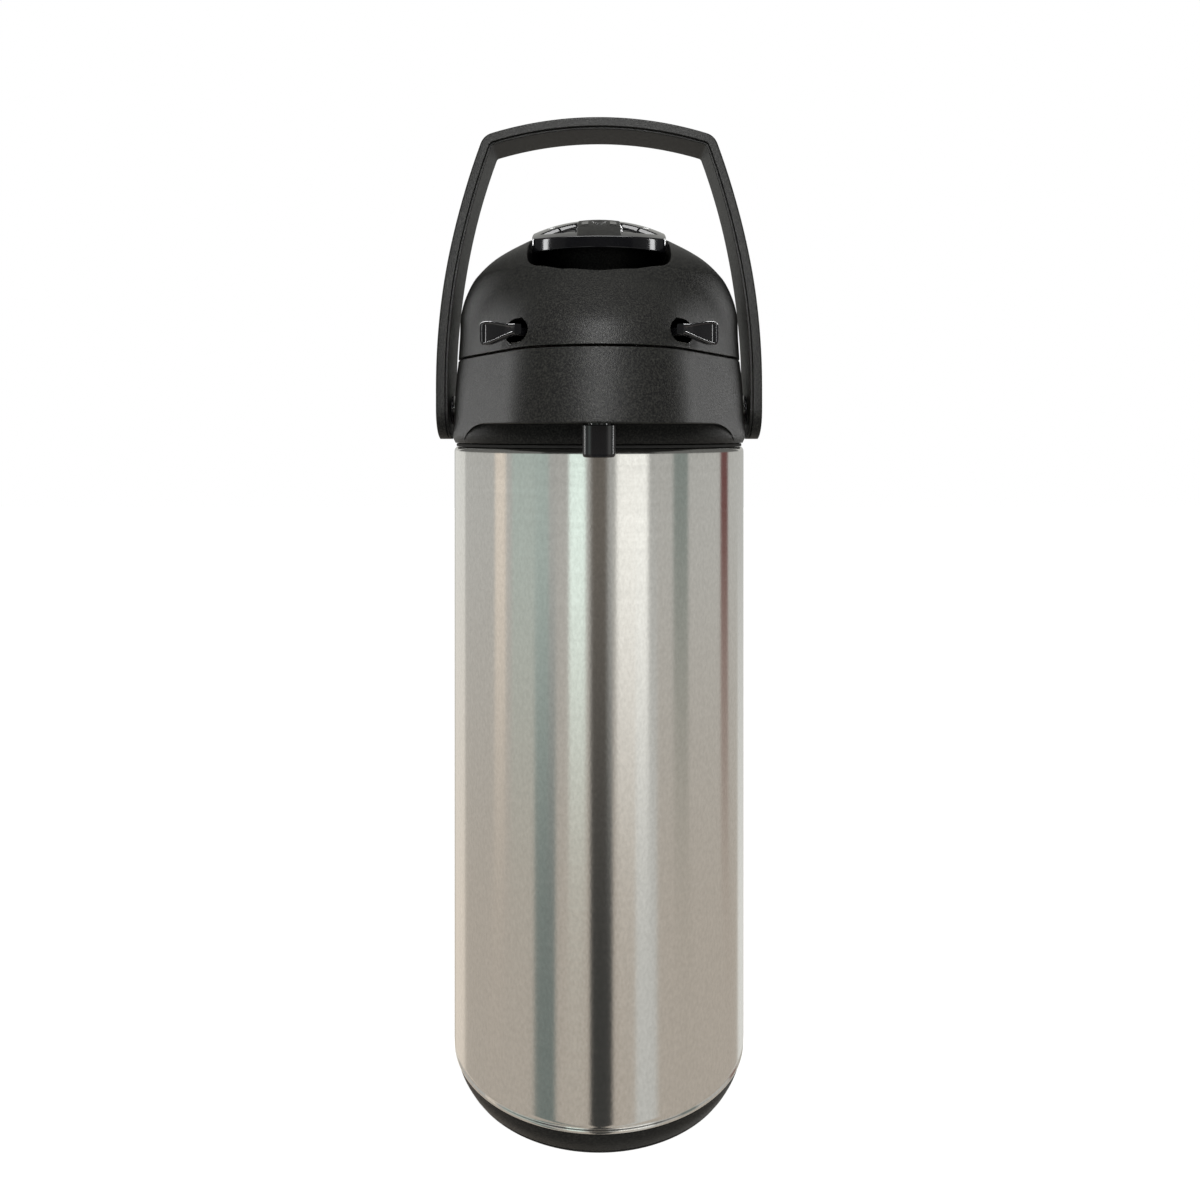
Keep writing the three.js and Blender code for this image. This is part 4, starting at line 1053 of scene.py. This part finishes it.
def bar_edge(x, inset):
    """The height of the arched bar's edge."""
    return BAIL_TOP - inset - BAIL_BAR_RADIUS + math.sqrt(BAIL_BAR_RADIUS**2 - x**2)


ARM_STEPS = 40
ARM_SPACING = 1.6  # above 1 sets the arm's sections closer together at its lower end
CORNER_STEPS = 12
BAR_STEPS = 24
CORNER_ROUNDS = 12


def bail_corner(inset):
    """Where the arm's edge and the bar's edge meet."""
    x, z = BAIL_CORNER
    for _ in range(CORNER_ROUNDS):
        x = arm_edge(z, inset)
        z = bar_edge(x, inset)
    return Vector((x, z))


def bail_half(inset, corner_radius):
    """The right half of the bail's outline from the pivot end to the middle of the bar."""
    corner = bail_corner(inset)
    top = corner.y - corner_radius
    bottom = BAIL_PIVOT - BAIL_END
    path = []
    for k in range(ARM_STEPS):
        z = bottom + (top - bottom) * (k / ARM_STEPS) ** ARM_SPACING
        path.append(Vector((arm_edge(z, inset), z)))
    start = Vector((arm_edge(top, inset), top))
    x = corner.x - corner_radius
    end = Vector((x, bar_edge(x, inset)))
    for k in range(CORNER_STEPS):
        t = k / CORNER_STEPS
        path.append(start * (1 - t) ** 2 + corner * (2 * t * (1 - t)) + end * t**2)
    for k in range(BAR_STEPS + 1):
        place = x * (1 - k / BAR_STEPS)
        path.append(Vector((place, bar_edge(place, inset))))
    return path


def bail_half_width(height):
    """Half the bail's width from front to back: a round end, then narrower towards the bar."""
    if height < BAIL_PIVOT:
        below = min(1, (BAIL_PIVOT - height) / BAIL_END)
        return max(BAIL_TIP_HALF, BAIL_ARM_HALF * math.sqrt(1 - below**2))
    share = min(1, max(0, (height - BAIL_NARROWS_AT) / BAIL_NARROWS_OVER))
    return BAIL_ARM_HALF + (BAIL_BAR_HALF - BAIL_ARM_HALF) * ease(share)


BAIL_FULL_EDGE = 6  # below this half width the edges shrink with the section


def bail_section(outer, inner, half):
    """A flat section: rounded edges, and a groove along each edge next to the inner face."""
    edge = [
        (0, 3, 0), (0, 0, 0.9), (0.76, 0, 0.35), (0.79, 1.6, 0),
        (0.92, 1.6, 0), (0.95, 0.7, 0.1), (1, 0.9, 0.1), (1, 3, 0),
    ]
    share = min(1, half / BAIL_FULL_EDGE)
    front = [(n, e * share - half, f) for n, e, f in edge]
    back = [(n, half - e * share, f) for n, e, f in reversed(edge)]
    corners = []
    for n, y, fillet in front + back:
        p = outer.lerp(inner, n)
        corners.append((Vector((p.x, y, p.y)), min(fillet, half * 0.4)))
    return filleted(corners)


def build_bail():
    outer_corner, inner_corner = BAIL_CORNER_RADII
    outer = bail_half(0, outer_corner)
    inner = bail_half(BAIL_THICKNESS, inner_corner)
    sections = []
    for out, inn in zip(outer, inner):
        sections.append(bail_section(out, inn, bail_half_width(out.y)))
    mirrored = [[Vector((-p.x, p.y, p.z)) for p in s] for s in reversed(sections[:-1])]
    bm = bmesh.new()
    rows = add_columns(bm, sections + mirrored, wrap=False)
    bm.faces.new(rows[0])
    bm.faces.new(reversed(rows[-1]))
    bail = publish("bail", bm, materials["textured_black"], "bail")
    bores = []
    for side in (-1, 1):
        start, end = [side * (BAIL_HALF - depth) for depth in BORE_DEPTHS]
        bores.append(pivot_rod(PIVOT_PIN + GAP, start, end))
    combined(bail, "DIFFERENCE", merged(*bores))
    smooth(bail)
    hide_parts("bail_handle")
    for label, side in SIDES:
        pin = pivot_rod(PIVOT_PIN, side * PIVOT_PIN_START, side * PIVOT_PIN_END, 0.4)
        piece(f"pivot_{label}", pin, "bright_steel", "vessel", f"pivot_pin_{label}")
        start, end = side * WASHER_START, side * WASHER_END
        washer = pivot_rod(WASHER_RADIUS, start, end, 0.2, PIVOT_PIN + GAP)
        piece(f"washer_{label}", washer, "gloss_black", "vessel", f"pivot_washer_{label}")


# ---- Bellows and spring ----

BELLOWS_BOTTOM = 311.9
BELLOWS_TOP = 342.7
SPRING_RADIUS = 15
SPRING_BOTTOM = 313.2
SPRING_TOP = 341.6
SPRING_TURNS = 5


def build_bellows():
    outer, root, wall = 28, 22.5, 1.2
    start, end, folds = 314, BELLOWS_TOP - 1.5, 4
    pitch = (end - start) / folds
    outside, inside = [], []
    for k in range(folds):
        z = start + k * pitch
        outside += [(root + wall, z, 0.8), (outer, z + pitch / 2, 0.8)]
        inside += [(root, z, 0.8), (outer - wall, z + pitch / 2, 0.8)]
    profile = [(root, BELLOWS_BOTTOM, 0), (33, BELLOWS_BOTTOM, 0.2), (33, BELLOWS_BOTTOM + wall, 0.2)]
    profile += [(root + wall, BELLOWS_BOTTOM + wall, 0)] + outside
    profile += [(root + wall, end, 0), (root + wall, BELLOWS_TOP, 0.2), (root, BELLOWS_TOP, 0.2)]
    profile += reversed(inside)
    bm = lathe_mesh(profile, SMALL_ROUND)
    made = piece("pump_bellows", bm, "black_rubber", "lid", "bellows", weighted=False)
    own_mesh(made)


def build_spring():
    steps, sides, wire = 160, 10, 1.0
    rise = SPRING_TOP - SPRING_BOTTOM
    columns = []
    for i in range(steps + 1):
        share = i / steps
        turn = 2 * math.pi * SPRING_TURNS * share
        outward = Vector((math.cos(turn), math.sin(turn), 0))
        centre = outward * SPRING_RADIUS + Vector((0, 0, SPRING_BOTTOM + rise * share))
        column = []
        for k in range(sides):
            a = 2 * math.pi * k / sides
            column.append(centre + (outward * math.cos(a) + Vector((0, 0, math.sin(a)))) * wire)
        columns.append(column)
    bm = bmesh.new()
    rows = add_columns(bm, columns, wrap=False)
    bm.faces.new(rows[0])
    bm.faces.new(reversed(rows[-1]))
    made = piece("pump_spring", bm, "bright_steel", "lid", "return_spring", weighted=False)
    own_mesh(made)


def build_plunger():
    seat, rim, top = 343, 345, 355.2
    disc, wall, room = 26, 24, 21.5
    profile = [
        (0, seat, 0), (disc, seat, 0.5), (disc, rim, 0.4), (wall, rim, 0.5), (wall, top, 0.4),
        (room, top, 0.4), (room, rim, 0.5), (0, rim, 0),
    ]
    piece("pump_plunger", lathe_mesh(profile, SMALL_ROUND), "textured_black", "pump_button", "plunger_cup")


# ---- CAD pieces that are shown as they are ----


def dress_cad_nodes():
    slots = {s["node"]: s["material_slot"] for s in frame["record"]["subparts"]}
    for name, obj in frame["nodes"].items():
        if obj.hide_render:
            continue
        obj.data.materials.clear()
        obj.data.materials.append(materials[slots[name]])


# ---- Stage ----


FLOOR_GLOW = 0.95
FLOOR_HALF = 3000


def build_floor():
    bm = bmesh.new()
    bmesh.ops.create_grid(bm, x_segments=2, y_segments=2, size=FLOOR_HALF)
    floor = publish("floor", bm, None, None)
    finish = plain("floor_paint", (0.90, 0.90, 0.89), (0.93, 0.93, 0.92), 0.7, 0.8, 3)
    floor.data.materials.append(finish)
    bsdf = finish.node_tree.nodes["Principled BSDF"]
    bsdf.inputs["Emission Color"].default_value = (1, 1, 1, 1)
    bsdf.inputs["Emission Strength"].default_value = FLOOR_GLOW
    floor.visible_glossy = False


# The studio is a room drawn by direction. A turn of 0 is behind the pot, 0.25 on its left, 0.5 in front
# and 0.75 on its right. Each panel on its wall is (centre, half width, brightness, tint).
PANEL_EDGE = 0.007
WHITE = (1.0, 1.0, 0.95)
COOL = (0.86, 1.0, 0.93)
WARM = (1.0, 0.90, 0.78)
RED = (1.0, 0.40, 0.38)
EYE_WALL = (0.46, WHITE)
EYE_PANELS = [
    (0.1, 0.04, 0.68, WHITE),
    (0.275, 0.012, 0.75, WARM),
    (0.35, 0.04, 0.5, COOL),
    (0.455, 0.014, 1.1, COOL),
    (0.5, 0.014, 0.16, WARM),
    (0.57, 0.03, 1.1, WHITE),
    (0.68, 0.015, 0.25, COOL),
    (0.815, 0.012, 0.14, RED),
]
GROUND_WALL = (0.42, WARM)
GROUND_PANELS = [
    (0.1, 0.04, 0.7, WARM),
    (0.385, 0.02, 0.18, COOL),
    (0.505, 0.02, 0.04, WHITE),
    (0.6, 0.02, 0.5, WHITE),
    (0.92, 0.03, 0.7, WHITE),
]
UPPER_WALL = (0.12, WHITE)
UPPER_PANELS = [(0.03, 0.07, 0.5, WHITE), (0.5, 0.12, 0.03, WHITE), (0.97, 0.07, 0.5, WHITE)]
# The height part of the direction where one ring ends and the next begins.
GROUND_HEIGHT, EYE_HEIGHT = -0.45, -0.07
EYE_TOP, UPPER_HEIGHT = 0.02, 0.1


def ring(tree, wall, panels, turn):
    """A ring of the room: its wall's colour by direction, with the panels on it."""
    stops = []
    for centre, half, *look in panels:
        stops += [(centre - half - PANEL_EDGE, *wall), (centre - half, *look)]
        stops += [(centre + half, *look), (centre + half + PANEL_EDGE, *wall)]
    ramp = node(tree, "ShaderNodeValToRGB")
    elements = ramp.color_ramp.elements
    elements.remove(elements[1])
    elements[0].position = max(0, stops[0][0])
    made = [elements[0]] + [elements.new(min(1, place)) for place, _, _ in stops[1:]]
    for element, (_, brightness, tint) in zip(made, stops):
        element.color = (*(brightness * part for part in tint), 1)
    tree.links.new(turn, ramp.inputs["Fac"])
    return ramp.outputs["Color"]


def blended(tree, below, above, height, low, high):
    """Mixes two colours by the height part of the direction."""
    share = node(tree, "ShaderNodeMapRange")
    share.inputs["From Min"].default_value = low
    share.inputs["From Max"].default_value = high
    tree.links.new(height, share.inputs["Value"])
    mix = node(tree, "ShaderNodeMix", data_type="RGBA")
    tree.links.new(share.outputs["Result"], mix.inputs[0])
    tree.links.new(below, mix.inputs[6])
    tree.links.new(above, mix.inputs[7])
    return mix.outputs[2]


def build_studio():
    """The world: the camera sees white, and everything else sees the room."""
    world = bpy.data.worlds.new("studio")
    bpy.context.scene.world = world
    world.use_nodes = True
    tree = world.node_tree
    tree.nodes.clear()
    link = tree.links.new
    place = node(tree, "ShaderNodeTexCoord")
    parts = node(tree, "ShaderNodeSeparateXYZ")
    link(place.outputs["Generated"], parts.inputs["Vector"])
    ahead = node(tree, "ShaderNodeMath", operation="MULTIPLY")
    ahead.inputs[1].default_value = -1
    link(parts.outputs["Y"], ahead.inputs[0])
    turn = node(tree, "ShaderNodeMath", operation="ARCTAN2")
    link(parts.outputs["X"], turn.inputs[0])
    link(ahead.outputs["Value"], turn.inputs[1])
    share = node(tree, "ShaderNodeMapRange")
    share.inputs["From Min"].default_value = -math.pi
    share.inputs["From Max"].default_value = math.pi
    link(turn.outputs["Value"], share.inputs["Value"])
    height = parts.outputs["Z"]
    around_pot = share.outputs["Result"]
    ground = ring(tree, GROUND_WALL, GROUND_PANELS, around_pot)
    eye = ring(tree, EYE_WALL, EYE_PANELS, around_pot)
    upper = ring(tree, UPPER_WALL, UPPER_PANELS, around_pot)
    walls = blended(tree, ground, eye, height, GROUND_HEIGHT, EYE_HEIGHT)
    room = blended(tree, walls, upper, height, EYE_TOP, UPPER_HEIGHT)
    light = node(tree, "ShaderNodeBackground")
    link(room, light.inputs["Color"])
    white = node(tree, "ShaderNodeBackground")
    white.inputs["Color"].default_value = (1, 1, 1, 1)
    rays = node(tree, "ShaderNodeLightPath")
    mix = node(tree, "ShaderNodeMixShader")
    link(rays.outputs["Is Camera Ray"], mix.inputs[0])
    link(light.outputs["Background"], mix.inputs[1])
    link(white.outputs["Background"], mix.inputs[2])
    output = node(tree, "ShaderNodeOutputWorld")
    link(mix.outputs["Shader"], output.inputs["Surface"])


def made_of(slot):
    """The pieces that wear a material."""
    meshes = [obj for obj in bpy.data.objects if obj.type == "MESH" and obj.data.materials]
    return [obj for obj in meshes if obj.data.materials[0] == materials[slot]]


def add_light(name, place, target, size, watts, pieces=()):
    """A softbox. It draws highlights only when it lights some pieces alone."""
    data = bpy.data.lights.new(name, "AREA")
    data.shape = "RECTANGLE"
    data.size, data.size_y = size
    data.energy = watts
    light = bpy.data.objects.new(name, data)
    light.location = place
    light.rotation_euler = (Vector(target) - Vector(place)).to_track_quat("-Z", "Y").to_euler()
    bpy.context.scene.collection.objects.link(light)
    light.visible_glossy = bool(pieces)
    if pieces:
        lit = bpy.data.collections.new(f"lit_by_{name}")
        for obj in pieces:
            lit.objects.link(obj)
        light.light_linking.receiver_collection = lit


def build_lights():
    """A soft key light, and softboxes that draw the highlights of the textured and the gloss black."""
    head = (0, -0.04, 0.34)
    add_light("key", (0.05, -0.55, 0.75), (0, 0, 0.32), (0.5, 0.5), 2)
    textured = [obj for obj in made_of("textured_black") if not obj.name.startswith("pump")]
    add_light("front", (0, -0.75, 0.5), head, (0.2, 0.2), 6, textured)
    add_light("above", (0, -0.5, 0.95), head, (0.2, 0.2), 8, textured)
    gloss = made_of("gloss_black")
    add_light("top", (0, 0.05, 1.1), head, (0.5, 0.5), 6, gloss)
    for label, side in SIDES:
        add_light(f"side_{label}", (side * 0.8, -0.25, 0.4), head, (0.12, 0.6), 3, gloss)
        add_light(f"rear_{label}", (side * 0.6, 0.6, 0.75), head, (0.3, 0.5), 8, gloss)
        add_light(f"flank_{label}", (side * 0.7, 0.45, 0.45), head, (0.4, 0.6), 2, textured)


def build_camera():
    data = bpy.data.cameras.new("camera")
    data.lens = 28.8
    data.sensor_width = 36
    data.shift_x = 0.0008
    data.shift_y = -0.1417
    camera = bpy.data.objects.new("camera", data)
    camera.location = (0, -0.4267, 0.2783)
    camera.rotation_euler = (math.pi / 2, 0, 0)
    bpy.context.scene.collection.objects.link(camera)
    bpy.context.scene.camera = camera


build_pot()
build_base()
build_foot()
build_collar()
build_nozzle()
build_dome()
build_button()
build_latches()
build_bail()
build_bellows()
build_spring()
build_plunger()
dress_cad_nodes()
build_floor()
build_studio()
build_lights()
build_camera()
bpy.context.scene.view_settings.view_transform = "Standard"
